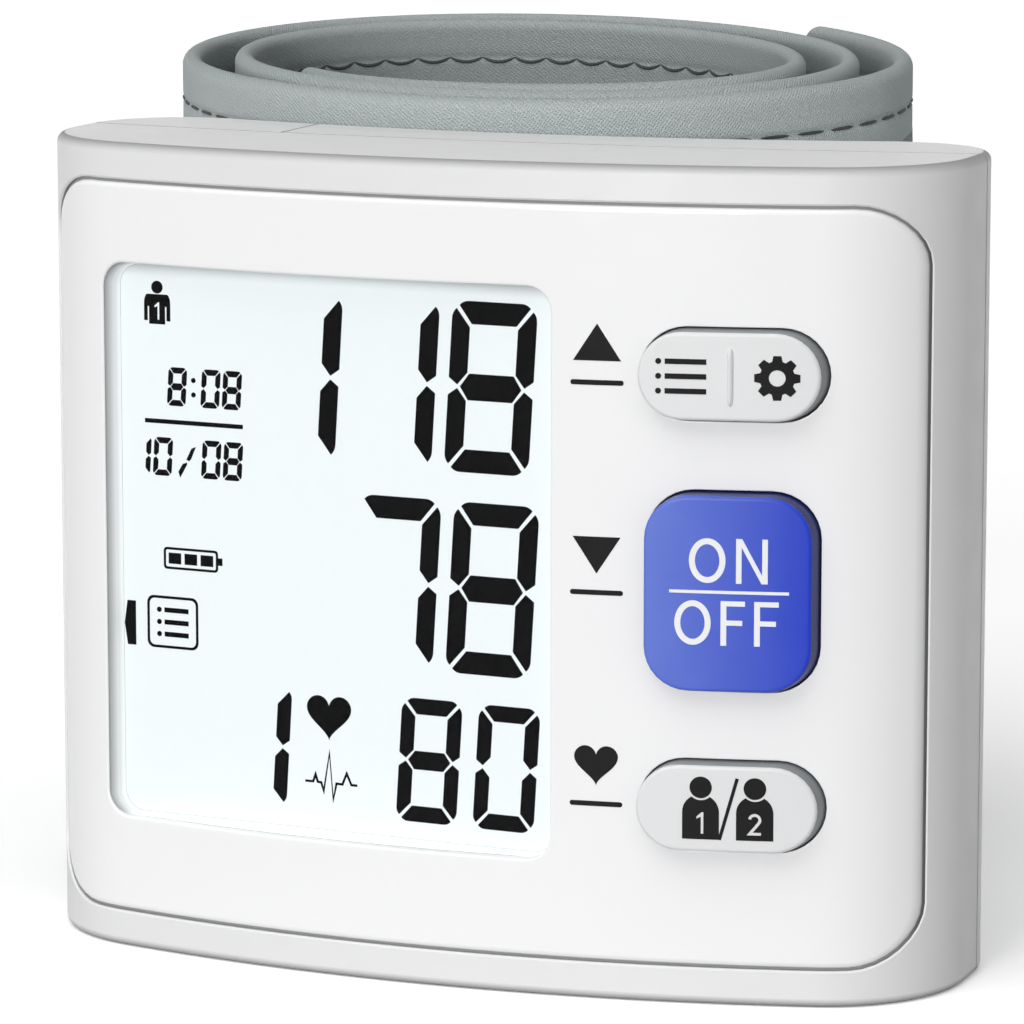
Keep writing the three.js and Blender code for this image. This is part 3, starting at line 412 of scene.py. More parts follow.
class Graph:
    """Adds nodes to a tree. A value is a number, a colour or the socket that gives it."""

    def __init__(self, tree):
        self.tree = tree

    def put(self, value, socket):
        if isinstance(value, bpy.types.NodeSocket):
            self.tree.links.new(value, socket)
        else:
            socket.default_value = (*value, 1) if socket.type == "RGBA" else value

    def set_inputs(self, node, values):
        for name, value in values.items():
            self.put(value, node.inputs[name.replace("_", " ")])

    def node(self, kind, **values):
        node = self.tree.nodes.new("ShaderNode" + kind)
        self.set_inputs(node, values)
        return node

    def place(self, kind="Object"):
        return self.node("TexCoord").outputs[kind]

    def uv(self, layer):
        node = self.node("UVMap")
        node.uv_map = layer
        return node.outputs["UV"]

    def parts(self, vector):
        return self.node("SeparateXYZ", Vector=vector).outputs

    def noise(self, vector, scale, detail=2.0):
        return self.node("TexNoise", Vector=vector, Scale=scale, Detail=detail).outputs["Fac"]

    def math(self, operation, a, b):
        node = self.node("Math")
        node.operation = operation
        self.put(a, node.inputs[0])
        self.put(b, node.inputs[1])
        return node.outputs["Value"]

    def mix(self, factor, a, b):
        node = self.node("Mix", Factor=factor)
        node.data_type = "RGBA"
        ends = [socket for socket in node.inputs if socket.type == "RGBA"]
        self.put(a, ends[0])
        self.put(b, ends[1])
        return next(socket for socket in node.outputs if socket.type == "RGBA")

    def spread(self, value, low, high, start=0.3, end=0.7):
        """Takes the range from start to end to the range from low to high."""
        node = self.node("MapRange", Value=value, From_Min=start, From_Max=end, To_Min=low, To_Max=high)
        return node.outputs["Result"]

    def seen_directly(self):
        """1 for rays from the camera, in reflections and through glass."""
        path = self.node("LightPath").outputs
        mirrored = self.math("MAXIMUM", path["Is Camera Ray"], path["Is Glossy Ray"])
        return self.math("MAXIMUM", mirrored, path["Is Transmission Ray"])


class Paint(Graph):
    """A material: its Principled shader and the nodes that feed it."""

    def __init__(self, name, color, roughness, **sockets):
        self.mat = bpy.data.materials.new(name)
        self.mat.use_nodes = True
        super().__init__(self.mat.node_tree)
        self.color, self.roughness = color, roughness
        self.set(Base_Color=color, Roughness=roughness, **sockets)

    def set(self, **sockets):
        self.set_inputs(self.tree.nodes["Principled BSDF"], sockets)

    def cloudy(self, factor, low):
        """The material's colour, darker by the factor low where the texture is low."""
        return self.mix(factor, shade(self.color, low), self.color)

    def uneven(self, texture, share=0.15):
        """The material's roughness, varied by a share of it."""
        return self.spread(texture, self.roughness * (1 - share), self.roughness * (1 + share))

    def bump(self, height, strength, distance):
        node = self.node("Bump", Strength=strength, Distance=distance, Height=height)
        self.set(Normal=node.outputs["Normal"])


CLOUD_SCALE, PATCH_SCALE, GRAIN_SCALE = 90, 400, 3200
GRAIN_DEPTH, LINE_DEPTH = 0.04 * MM, 0.03 * MM
WEAVE_DEPTH, CELL_DEPTH = 0.16 * MM, 0.2 * MM
# Painted shade line along the housing's upper and lower edges: its tone, the roughness there, its width, and
# where it ends at the very top
EDGE_SHADE_TONE, EDGE_ROUGHNESS = 0.42, 0.9
EDGE_RUN, EDGE_TOP = 0.75 * MM, 0.02 * MM
EDGE_GRAIN = 0.1


def plastic(name, color, roughness, grain=0.0, vary=0.03, **sockets):
    """Moulded plastic: faint cloudy tone, uneven gloss and, where asked, a spark eroded grain."""
    paint = Paint(name, color, roughness, **sockets)
    place = paint.place()
    paint.set(Base_Color=paint.cloudy(paint.noise(place, CLOUD_SCALE), 1 - vary),
              Roughness=paint.uneven(paint.noise(place, PATCH_SCALE, detail=3)))
    if grain:
        paint.bump(paint.noise(place, GRAIN_SCALE), grain, GRAIN_DEPTH)
    return paint.mat


def edge_shaded_plastic(name, color, roughness):
    """Housing plastic. A painted shade line darkens its narrow upper and lower edges, which are also duller.
    """
    paint = Paint(name, color, roughness)
    place = paint.place()
    height = paint.parts(place)["Z"]
    base, top = ORIGIN.z, ORIGIN.z + HEIGHT * MM
    # Mask of the painted shade line: full at the lower and upper edges, fading over EDGE_RUN
    low = paint.spread(height, 1, 0, base, base + EDGE_RUN)
    high = paint.spread(height, 0, 1, top - EDGE_RUN, top - EDGE_TOP)
    flat = paint.spread(height, 1, 0, top - EDGE_TOP, top)
    painted_edge_shade = paint.math("MAXIMUM", low, paint.math("MULTIPLY", high, flat))
    cloud = paint.cloudy(paint.noise(place, CLOUD_SCALE), 0.98)
    patch = paint.uneven(paint.noise(place, PATCH_SCALE, detail=3))
    paint.set(Base_Color=paint.mix(painted_edge_shade, cloud, shade(color, EDGE_SHADE_TONE)),
              Roughness=paint.mix(painted_edge_shade, patch, (EDGE_ROUGHNESS,) * 3))
    paint.bump(paint.noise(place, GRAIN_SCALE), EDGE_GRAIN, GRAIN_DEPTH)
    return paint.mat


def metal(name, color, roughness, stretch):
    """Drawn metal: fine lines along one axis."""
    paint = Paint(name, color, roughness, Metallic=1.0)
    along = paint.node("Mapping", Vector=paint.place(), Scale=stretch).outputs["Vector"]
    lines = paint.noise(along, scale=900, detail=3)
    paint.set(Base_Color=paint.cloudy(lines, 0.8), Roughness=paint.uneven(lines, 0.3))
    paint.bump(lines, 0.15, LINE_DEPTH)
    return paint.mat


def gradient(name, first, second, roughness, axis, start, end, grain=0.0, **sockets):
    """Plastic whose colour runs from one tone to another along an axis of the part."""
    paint = Paint(name, first, roughness, **sockets)
    place = paint.place()
    run = paint.mix(paint.spread(paint.parts(place)[axis], 0, 1, start, end), first, second)
    cloud = paint.spread(paint.noise(place, scale=300), 0, 0.12)
    patch = paint.noise(place, scale=500, detail=3)
    paint.set(Base_Color=paint.mix(cloud, run, second), Roughness=paint.uneven(patch))
    if grain:
        paint.bump(paint.noise(place, scale=3000), grain, GRAIN_DEPTH)
    return paint.mat


# A wave texture of scale 1 repeats after this length. The ribs are turned by degrees and scaled.
WAVE = 2 * pi / 20
RIBS = ((33, 1.0), (-52, 0.8))


def cloth(name, color, pitch, depth, dark, lining=1.0):
    """Woven cover: two crossing sets of fine ribs on the band's own length and height, in millimetres.
    Where an inner shade factor is given, its inner face is painted darker: painted shade in the cuff's
    hollow."""
    paint = Paint(name, color, 0.85, Sheen_Weight=0.04, Sheen_Roughness=0.5)
    grid = paint.uv("weave")
    ribs = []
    for turn, scale in RIBS:
        turned = paint.node("Mapping", Vector=grid, Rotation=(0, 0, radians(turn))).outputs["Vector"]
        wave = paint.node("TexWave", Vector=turned, Scale=scale * WAVE / pitch,
                          Distortion=4.5, Detail=3.0, Detail_Scale=1.3)
        ribs.append(wave.outputs["Fac"])
    height = paint.math("ADD", paint.math("MULTIPLY", *ribs), paint.noise(grid, scale=4.0, detail=3))
    tone = paint.cloudy(paint.spread(paint.noise(grid, scale=0.12, detail=3), 0, 1), 0.93)
    raised = paint.spread(height, 0, 1, 0.45, 1.1)
    woven = paint.mix(raised, shade(color, dark), tone)
    # Painted shade: the inner face, inside the cuff's hollow, is painted darker
    if lining < 1:
        inside = paint.mix(raised, shade(color, dark * lining), shade(color, lining))
        woven = paint.mix(paint.parts(paint.uv("lining"))["X"], woven, inside)
    paint.set(Base_Color=woven)
    paint.bump(height, depth, WEAVE_DEPTH)
    return paint.mat


# Colour of the painted glow on the display and the gasket; tone and curve of the painted shadow along the
# display's upper edge
PAINTED_GLOW = (0.92, 0.985, 1.0)
DISPLAY_SHADOW_TONE, DISPLAY_SHADOW_CURVE = 0.3, 1.6
# Strength of the painted glow on the gasket
PAINTED_RING_GLOW = 0.3


def ring_painted_shade_and_glow(name, color, dark):
    """Gasket: painted shade darkens its rim on the left and the top; elsewhere it is pale, with a faint
    painted glow as from the display.
    """
    paint = Paint(name, color, 0.6, Specular_IOR_Level=0.1, Emission_Strength=PAINTED_RING_GLOW)
    parts = paint.parts(paint.uv("shade"))
    share = paint.math("MULTIPLY", parts["X"], parts["Y"])
    pale = paint.cloudy(paint.noise(paint.place(), scale=2000), 0.96)
    paint.set(Base_Color=paint.mix(share, pale, dark),
              Emission_Color=paint.mix(share, PAINTED_GLOW, (0, 0, 0)))
    return paint.mat


def display_painted_glow_and_shadow(name, color, strength, top, run):
    """Display glass: a faint painted glow lifts the shade in its recess, and a painted shadow darkens a
    narrow band along its upper edge.
    """
    paint = Paint(name, color, 0.3, Specular_IOR_Level=0.2, Emission_Strength=strength)
    place = paint.place()
    # Painted shadow: a band along the upper edge, where the window's rim casts shade
    edge = paint.spread(paint.parts(place)["Z"], 0, 1, top - run, top)
    painted_shadow = paint.math("POWER", edge, DISPLAY_SHADOW_CURVE)
    cloud = paint.cloudy(paint.noise(place, CLOUD_SCALE), 0.99)
    paint.set(Base_Color=paint.mix(painted_shadow, cloud, shade(color, DISPLAY_SHADOW_TONE)),
              Emission_Color=paint.mix(painted_shadow, PAINTED_GLOW, shade(PAINTED_GLOW, DISPLAY_SHADOW_TONE)))
    return paint.mat


def speckled(name, color, other, scale, roughness, depth):
    """Two tones in small cells: board print, hook tape, loop tape."""
    paint = Paint(name, color, roughness)
    cells = paint.node("TexVoronoi", Vector=paint.place(), Scale=scale).outputs["Distance"]
    paint.set(Base_Color=paint.mix(paint.spread(cells, 0, 1, 0.1, 0.6), color, other))
    paint.bump(cells, depth, CELL_DEPTH)
    return paint.mat


# Span across the blue key's face of its painted highlight
BLUE_LEFT, BLUE_RIGHT = ORIGIN.x + 16.8 * MM, ORIGIN.x + 29.9 * MM
WINDOW_TOP = ORIGIN.z + (WINDOW_Z + WINDOW_HEIGHT / 2) * MM
WRAP_COPPER, WRAP_BLACK = (0.55, 0.30, 0.08), (0.02, 0.022, 0.026)

# Housing plastic, with a painted shade line along its upper and lower edges
SHELL = edge_shaded_plastic("shell_plastic", (0.78, 0.78, 0.785), 0.42)
FASCIA_WHITE = plastic("fascia_plastic", (0.91, 0.91, 0.915), 0.16, vary=0.015)
# Painted shade: the floor and foot of the groove round the fascia are painted dark grey, for the shade down
# in the groove
GROOVE_SHADE = plastic("fascia_groove", (0.32, 0.322, 0.325), 0.6, Specular_IOR_Level=0.15)
FACE_GREY = plastic("key_face", (0.74, 0.745, 0.75), 0.4, grain=0.08)
SIDE_GREY = plastic("key_side", (0.2, 0.215, 0.225), 0.35)
# Blue key face: a painted highlight, lighter on the left and deeper blue on the right, as light from the left
# falls
BLUE_FACE = gradient("key_blue_face", (0.115, 0.185, 0.64), (0.008, 0.038, 0.52), 0.34, "X",
                     BLUE_LEFT, BLUE_RIGHT, grain=0.08, Specular_IOR_Level=0.3)
BLUE_SIDE = plastic("key_blue_side", (0.012, 0.02, 0.13), 0.3, Specular_IOR_Level=0.2)
INK = plastic("ink", (0.007, 0.007, 0.0075), 0.5, Specular_IOR_Level=0.1)
INK_WHITE = plastic("ink_white", (0.85, 0.86, 0.88), 0.5)
# LCD glass with a painted glow and a painted shadow along its upper edge
LCD = display_painted_glow_and_shadow("lcd_glass", (0.42, 0.452, 0.455), 0.6, WINDOW_TOP, 1.3 * MM)
LCD_INK = plastic("lcd_segment", (0.005, 0.005, 0.0055), 0.45, Specular_IOR_Level=0.03)
DARK = plastic("dark_plastic", (0.025, 0.026, 0.03), 0.5, grain=0.3)
PALE = plastic("pale_plastic", (0.62, 0.63, 0.64), 0.55, grain=0.3)
STEEL = metal("steel", (0.56, 0.57, 0.58), 0.32, (1, 1, 0.05))
NICKEL = metal("nickel", (0.58, 0.55, 0.48), 0.3, (0.05, 1, 1))
BOARD = speckled("board", (0.012, 0.11, 0.045), (0.02, 0.17, 0.07), 700, 0.45, 0.15)
RUBBER = plastic("rubber", (0.035, 0.036, 0.04), 0.75, grain=0.4)
HOSE = plastic("hose", (0.6, 0.63, 0.6), 0.45)
FILM = plastic("film", (0.55, 0.6, 0.65), 0.35)
# Cuff cloth, its inner face darkened by painted shade
CLOTH = cloth("cuff_cloth", (0.53, 0.585, 0.585), 0.22, 0.75, 0.88, lining=0.62)
PANEL = cloth("cuff_panel", (0.26, 0.29, 0.29), 0.22, 0.5, 0.75)
THREAD = plastic("thread", (0.03, 0.035, 0.035), 0.7, grain=0.4)
HOOKS = speckled("hook_tape", (0.05, 0.057, 0.057), (0.16, 0.18, 0.18), 1400, 0.8, 0.9)
LOOPS = speckled("loop_tape", (0.13, 0.15, 0.15), (0.22, 0.25, 0.25), 900, 0.95, 0.9)
LENS = Paint("lens_clear", (0.02, 0.022, 0.022), 0.05, Alpha=0.03).mat
# Gasket with painted shade on its left and upper rim and a faint painted glow
GASKET = ring_painted_shade_and_glow("gasket", (0.88, 0.9, 0.9), (0.36, 0.37, 0.37))
CELL = gradient("cell_wrap", WRAP_COPPER, WRAP_BLACK, 0.3, "Z", 0.016, 0.0162, Metallic=0.5)
CELL_TURNED = gradient("cell_wrap_turned", WRAP_BLACK, WRAP_COPPER, 0.3, "Z", 0.0498, 0.05, Metallic=0.5)


# Housing shells

KEYS = {
    "mem_set_key": (KEY_X, MARK_Z, *PILL),
    "start_key": (KEY_X, START_Z, *START),
    "user_key": (KEY_X, USER_Z, *PILL),
}
LEFT_MARGIN = 0.7
WINDOW = (WINDOW_X - LEFT_MARGIN / 2, WINDOW_Z, WINDOW_WIDTH + LEFT_MARGIN, WINDOW_HEIGHT, WINDOW_CORNER)
WINDOW_CLEARANCE = 0.3
RECESS_FLARE = 0.16
SEAM_STEP = 0.15
OVERCUT = 0.5
POST_RADIUS, PILOT_RADIUS, HEAD_RADIUS = 2.4, 1.0, 1.85
POST_DEPTH, PILOT_DEPTH, POST_FLOOR = 1.5, 10.75, 0.9
SCREW_SINK, SCREW_HEAD = 1.5, 1.2
POST_OVERLAP = 0.5
POST_EDGE = WALL + POST_RADIUS - POST_OVERLAP
POSTS = [(x, z) for x in (28.0, -10.0) for z in (POST_EDGE, HEIGHT - POST_EDGE)]


def post(x, z, start, end):
    return prism_y(circle(x, z, POST_RADIUS, 28), start, end)


def pilot(x, z, start, end):
    return prism_y(circle(x, z, PILOT_RADIUS, 20), start, end)


def front_of_seam(shift):
    reach = HALF + REACH
    seam = [(x, parting_y(x, shift)) for x in [reach * (1 - i / 40) for i in range(81)]]
    points = [(-reach, -REACH), (reach, -REACH)] + seam
    return prism_z(points, -REACH, HEIGHT + REACH)


def left_of(x):
    return box(-HALF - REACH, x, -REACH, REAR_CENTRE_Y, -REACH, HEIGHT + REACH)


def hollow():
    return housing_block(WALL, WALL, HEIGHT - WALL)


def front_shell():
    shell = housing_block(0, 0, HEIGHT, FILLET)
    keep_within(shell, front_of_seam(0))
    core = housing_block(SEAM_STEP, SEAM_STEP, HEIGHT - SEAM_STEP)
    step = cut(housing_block(-1, -1, HEIGHT + 1), core)
    cut(shell, cut(step, front_of_seam(-SEAM_STEP)))
    cut(shell, hollow())
    for x, z in POSTS:
        end = parting_y(abs(x) - POST_RADIUS) - FIT
        unite(shell, post(x, z, front_y(x, POST_DEPTH), end))
        cut(shell, pilot(x, z, rear_y(x) - PILOT_DEPTH, end + REACH))
    levels = [(FIT + RECESS_FLARE + OVERCUT, at_depth(-OVERCUT)), (FIT, at_depth(RECESS_FLARE)),
              (FIT, at_depth(FASCIA_THICKNESS + FIT))]
    cut(shell, plate("recess", [(FASCIA, levels)], FRONT_COLUMNS, FRONT_ROWS))
    cut(shell, prism_y(rounded_loop(WINDOW, WINDOW_CLEARANCE), -REACH, REACH / 2))
    for spec in KEYS.values():
        cut(shell, prism_y(rounded_loop(spec, KEY_CLEARANCE), -REACH, REACH / 2))
    return shell


def rear_skin():
    skin = housing_block(0, 0, HEIGHT, FILLET)
    return cut(skin, front_of_seam(PARTING_GAP), hollow())


def rear_shell():
    shell = cut(rear_skin(), left_of(SEAM_X + PARTING_GAP / 2))
    for x, z in POSTS:
        start = parting_y(abs(x) + POST_RADIUS) + FIT
        unite(shell, post(x, z, start, rear_y(x) - POST_FLOOR))
        cut(shell, pilot(x, z, 0, REAR_CENTRE_Y))
        head = circle(x, z, HEAD_RADIUS, 28)
        cut(shell, prism_y(head, rear_y(x) - (SCREW_SINK + SCREW_HEAD) - FIT, REAR_CENTRE_Y))
    low, high = inner_box("air_nozzle")
    middle = (low + high) / 2
    hole = circle(middle.x, middle.z, (high.x - low.x) / 2 + FIT)
    return cut(shell, prism_y(hole, 0, REAR_CENTRE_Y))


GRIPS = 7
GRIP_PITCH, GRIP_RADIUS, GRIP_X = 2.6, 0.75, -HALF - 0.35
GRIP_FRONT, GRIP_REAR = 20.5, 25.5
LIP = 0.8
DOOR_LIPS = ((WALL - 0.3, -3.2, -0.4), (WALL + FIT, -1.2, 1.6))


def door_lip(inset, x0, x1):
    """A strip under the rear skin, between two distances from the door's seam."""
    lip = housing_block(inset, WALL + FIT, HEIGHT - WALL - FIT)
    cut(lip, housing_block(WALL + FIT + LIP, 0, HEIGHT))
    return keep_within(lip, box(SEAM_X + x0, SEAM_X + x1, rear_y(0) - WALL, REAR_CENTRE_Y,
                                HEIGHT / 4, HEIGHT * 3 / 4))


def battery_door():
    door = keep_within(rear_skin(), left_of(SEAM_X - PARTING_GAP / 2))
    unite(door, *[door_lip(*strip) for strip in DOOR_LIPS])
    for i in range(GRIPS):
        z = HEIGHT / 2 + (i - (GRIPS - 1) / 2) * GRIP_PITCH
        cut(door, prism_y(circle(GRIP_X, z, GRIP_RADIUS, 20), GRIP_FRONT, GRIP_REAR))
    return door


seat(front_shell(), "case", "shell", [SHELL], ["front_shell"]).name = "front_shell_skin"
seat(rear_shell(), "case", "shell", [SHELL], ["rear_shell"]).name = "rear_shell_skin"
seat(battery_door(), "door", "shell", [SHELL], ["battery_door"]).name = "battery_door_skin"


# Fascia and keys

def eased(edge, depth, top, steps=4):
    """Levels of a rounded edge: from the face, inward by edge, down to depth."""
    turn = [radians(90 * i / steps) for i in range(steps + 1)]
    return [(-edge * (1 - sin(t)), at_depth(top + depth * (1 - cos(t)))) for t in turn]


FASCIA_EDGE, FASCIA_DROP, FASCIA_RIM = 0.42, 0.36, 0.08
FASCIA_FOOT = FIT - 0.04
FASCIA_GROOVE, GROOVE_SLOPE = 0.4, 0.03
GROOVE_START = 0.01
WINDOW_EDGE, WINDOW_NARROW = 0.22, 0.17
HOLE_EDGE, HOLE_GAP, ROCKER_GAP = 0.08, 0.12, 0.16


# Polygons down in the groove round the fascia, which take the painted groove shade
def in_groove(corners):
    middle = np.mean([(p.x, p.z) for p in corners], axis=0)
    return not crossings(middle[None], [rounded_loop(FASCIA, -GROOVE_START)])[0]


def fascia():
    outer = [(-FASCIA_EDGE - FASCIA_RIM, at_depth(0))] + eased(FASCIA_EDGE, FASCIA_DROP, 0.0)
    outer += [(0, at_depth(FASCIA_GROOVE)), (FASCIA_FOOT, at_depth(FASCIA_GROOVE + GROOVE_SLOPE)),
              (FASCIA_FOOT, at_depth(FASCIA_THICKNESS))]
    x, z, width, height, radius = WINDOW
    holes = [((x, z, width - WINDOW_NARROW, height, radius), WINDOW_EDGE)]
    for name, (x, z, width, height, radius) in KEYS.items():
        side = ROCKER_GAP if name == "mem_set_key" else HOLE_GAP
        holes.append(((x, z, width + 2 * side, height + 2 * HOLE_GAP, radius + HOLE_GAP), HOLE_EDGE))
    parts = [(FASCIA, outer)]
    for spec, edge in holes:
        ring = [(-grow, depth) for grow, depth in eased(edge, edge, 0.0)]
        parts.append((spec, [(edge + FLAT_RIM, at_depth(0))] + ring + [(0, at_depth(FASCIA_THICKNESS))]))
    ob = plate("fascia_plate", parts, FRONT_COLUMNS, FRONT_ROWS)
    # The groove's polygons take the painted shade
    return two_tone(ob, FASCIA_WHITE, GROOVE_SHADE, in_groove)


seat(fascia(), "case", "fascia", [], ["fascia"])

KEY_DRAFT, KEY_EDGE, KEY_RIM, KEY_FOOT = 0.14, 0.24, 0.05, 0.1
KEY_GRID = 0.9
FACE_DEPTH = 0.3


def key_piece(name, rocker, face, side):
    spec = KEYS[name]
    top = [(-KEY_DRAFT - KEY_EDGE - KEY_RIM, at_depth(-KEY_RISE))]
    top += [(grow - KEY_DRAFT, depth) for grow, depth in eased(KEY_EDGE, KEY_EDGE, -KEY_RISE)]
    stop = at_depth(WALL + FIT + rocker)
    levels = top + [(0, at_depth(KEY_FOOT)), (0, stop), (FLANGE, stop), (FLANGE, at_y(KEY_BACK))]
    columns = [spec[0] + KEY_GRID * i for i in range(-8, 9)]
    rows = [spec[1] + KEY_GRID * i for i in range(-9, 10)]
    ob = plate(name + "_cap", [(spec, levels)], columns, rows)
    return two_tone(ob, face, side,
                    lambda corners: max(p.y - front_y(p.x, 0) for p in corners) >= FACE_DEPTH - KEY_RISE)


CAPS = {
    "mem_set_key": ("rocker", "key_grey", ROCKER_RISE, FACE_GREY, SIDE_GREY),
    "start_key": ("start", "key_blue", 0.0, BLUE_FACE, BLUE_SIDE),
    "user_key": ("user", "key_grey", 0.0, FACE_GREY, SIDE_GREY),
}
for key_name, (key_body, key_slot, key_rocker, key_face, key_side) in CAPS.items():
    seat(key_piece(key_name, key_rocker, key_face, key_side), key_body, key_slot, [], [key_name])


# Printed marks: flat loops, stamped on a curved or tilted face as thin solids

def resampled(loop, longest):
    points = []
    for a, b in zip(loop, loop[1:] + loop[:1]):
        count = max(1, ceil(dist(a, b) / longest))
        points += [(a[0] + (b[0] - a[0]) * k / count, a[1] + (b[1] - a[1]) * k / count) for k in range(count)]
    return points


def stamp(name, groups, place, body, slot, mat, spacing=0.0):
    """Thin solids of the loops in each group; place gives a point for x, z and its side (0 top, 1 foot)."""
    verts, faces = [], []
    for loops in groups:
        columns = rows = []
        if spacing:
            loops = [resampled(list(loop), spacing) for loop in loops]
            xs, zs = zip(*[p for loop in loops for p in loop])
            columns = np.arange(min(xs) + spacing / 2, max(xs) + spacing, spacing)
            rows = np.arange(min(zs) + spacing / 2, max(zs) + spacing, spacing)
            if len(columns) < 2 or len(rows) < 2:
                columns = rows = []
        points, triangles = fill(loops, columns, rows)
        top = len(verts)
        foot = top + len(points)
        verts += [place(x, z, side) for side in (0, 1) for x, z in points]
        faces += [tuple(top + i for i in t) for t in triangles]
        faces += [tuple(foot + i for i in reversed(t)) for t in triangles]
        for loop in loops:
            faces += quads(range(top, top + len(loop)), range(foot, foot + len(loop)))
            top, foot = top + len(loop), foot + len(loop)
    return seat(new_object(name, verts, faces), body, slot, [mat], sharp=30)


# Mitres reach no further than this share of the width, and are reckoned from no sharper a corner
MITRE_REACH, MITRE_SHARPEST = 1.6, 0.25


def ribbon(points, width, closed=False):
    """Outline of a line of even width with mitred corners: one loop, or two where it is closed."""
    line = np.array(points, float)
    count = len(line)
    sides = ([], [])
    for i in range(count):
        before = line[i] - line[i - 1] if i or closed else line[1] - line[0]
        after = line[(i + 1) % count] - line[i] if i < count - 1 or closed else line[-1] - line[-2]
        before, after = before / np.linalg.norm(before), after / np.linalg.norm(after)
        along = before + after
        along /= np.linalg.norm(along)
        normal = np.array([-along[1], along[0]])
        reach = min(width / 2 / max(MITRE_SHARPEST, float(along @ after)), width * MITRE_REACH)
        sides[0].append(tuple(line[i] + normal * reach))
        sides[1].append(tuple(line[i] - normal * reach))
    return [sides[0], sides[1]] if closed else [sides[0] + sides[1][::-1]]


def rounded(x0, x1, z0, z1, radius):
    return rounded_loop(((x0 + x1) / 2, (z0 + z1) / 2, x1 - x0, z1 - z0, radius), steps=5, spacing=9)


def moved(loops, x, z, size=1.0):
    return [[(x + size * a, z + size * b) for a, b in loop] for loop in loops]


def heart(x, z, width):
    turn = [2 * pi * i / 48 for i in range(48)]
    shape = [(16 * sin(t) ** 3,
              13 * cos(t) - 5 * cos(2 * t) - 2 * cos(3 * t) - cos(4 * t)) for t in turn]
    return [[(x + a * width / 32, z + (b + 2.5) * width / 32) for a, b in shape]]


NUMERAL_1 = [[(-0.34, 0.52), (-0.34, 0.34), (0.02, 0.52), (0.02, -0.9),
              (0.24, -0.9), (0.24, 0.9), (0.08, 0.9)]]
TWO_ARC = arc(0.0, 0.36, 0.42, radians(170), radians(-40), 10)
NUMERAL_2 = ribbon(TWO_ARC + [(0.2, -0.05), (-0.4, -0.79), (0.52, -0.79)], 0.24)
HEAD_Z, HEAD, NECK, NECK_END = 1.62, 0.86, 1.02, 0.98
SHOULDER, SHOULDER_Z, FOOT_Z = 1.42, -0.35, -2.5
CHEST_Z, CHEST_SIZE = -1.2, 0.95


def person(x, z, numeral):
    """Head and shoulders 5 units high, with a numeral left bare in the chest."""
    chest = [(SHOULDER, FOOT_Z)] + arc(0, SHOULDER_Z, SHOULDER, 0, pi, 18)
    chest += [(-SHOULDER, SHOULDER_Z), (-SHOULDER, FOOT_Z)]
    neck = sorted((p for p in circle(0, HEAD_Z, NECK, 28) if p[1] < NECK_END), key=lambda p: -p[0])
    chest = [p for p in chest if dist(p, (0, HEAD_Z)) > NECK]
    body = [p for p in chest if p[0] > 0] + neck + [p for p in chest if p[0] <= 0]
    head = moved([circle(0, HEAD_Z, HEAD, 28)], x, z)
    return [head, moved([body] + moved(numeral, 0, CHEST_Z, CHEST_SIZE), x, z)]


GEAR_TEETH, GEAR_HOLE = 8, 0.36
GEAR_TOOTH = ((-0.30, 0.76), (-0.17, 1.0), (0.17, 1.0), (0.30, 0.76))


def gear(x, z, radius):
    rim = []
    for i in range(GEAR_TEETH):
        for offset, reach in GEAR_TOOTH:
            a = 2 * pi * i / GEAR_TEETH + offset
            rim.append((x + radius * reach * cos(a), z + radius * reach * sin(a)))
    return [rim, circle(x, z, radius * GEAR_HOLE, 24)]


LIST_DOT, LIST_INDENT = 0.55, 1.7


def listed(x, z, width, pitch, thick):
    """Three lines of a list, each with its dot."""
    groups = []
    for line_z in (z - pitch, z, z + pitch):
        groups.append([circle(x - width / 2 + thick / 2, line_z, thick * LIST_DOT, 16)])
        groups.append([rectangle(x - width / 2 + thick * LIST_INDENT, x + width / 2,
                                 line_z - thick / 2, line_z + thick / 2)])
    return groups


PRINT_THICKNESS, PRINT_SINK = 0.03, 0.06
PRINT_GRID = 0.7


def print_on(name, marks, rise, body, slot, mat):
    """Prints marks on the curved front, or on a key that rises above it."""
    depths = (-rise - PRINT_THICKNESS, -rise + PRINT_SINK)
    stamp(name, marks, lambda x, z, foot: (x, front_y(x, depths[foot]), z), body, slot, mat, PRINT_GRID)


LABEL_X = 12.75
UPPER_Z, MIDDLE_Z, LOWER_Z = 52.1, 35.6, 18.8
LABEL_RULE = rounded(-2.1, 2.1, -3.25, -2.85, 0.18)
RISING = [(-1.9, -1.35), (1.9, -1.35), (0.0, 1.55)]
FALLING = [(x, -z) for x, z in reversed(RISING)]
LABELS = (([RISING], UPPER_Z), ([FALLING], MIDDLE_Z), (heart(0, 0, 3.5), LOWER_Z))
labels = [moved(sign, LABEL_X, z) for sign, z in LABELS]
labels += [moved([LABEL_RULE], LABEL_X, z) for _, z in LABELS]
print_on("fascia_marks", labels, 0, "case", "dark_plastic", INK)

rocker_marks = listed(KEY_X - 3.55, MARK_Z, 3.9, 1.15, 0.42) + [gear(KEY_X + 3.75, MARK_Z, 1.75)]
print_on("rocker_marks", rocker_marks, KEY_RISE, "rocker", "dark_plastic", INK)

PERSON_Z = USER_Z + 0.1
user_marks = person(KEY_X - 1.85, PERSON_Z, NUMERAL_1) + person(KEY_X + 2.3, PERSON_Z, NUMERAL_2)
user_marks += [ribbon([(KEY_X - 0.4, USER_Z - 2.4), (KEY_X + 0.95, USER_Z + 2.5)], 0.26)]
print_on("user_marks", user_marks, KEY_RISE, "user", "dark_plastic", INK)

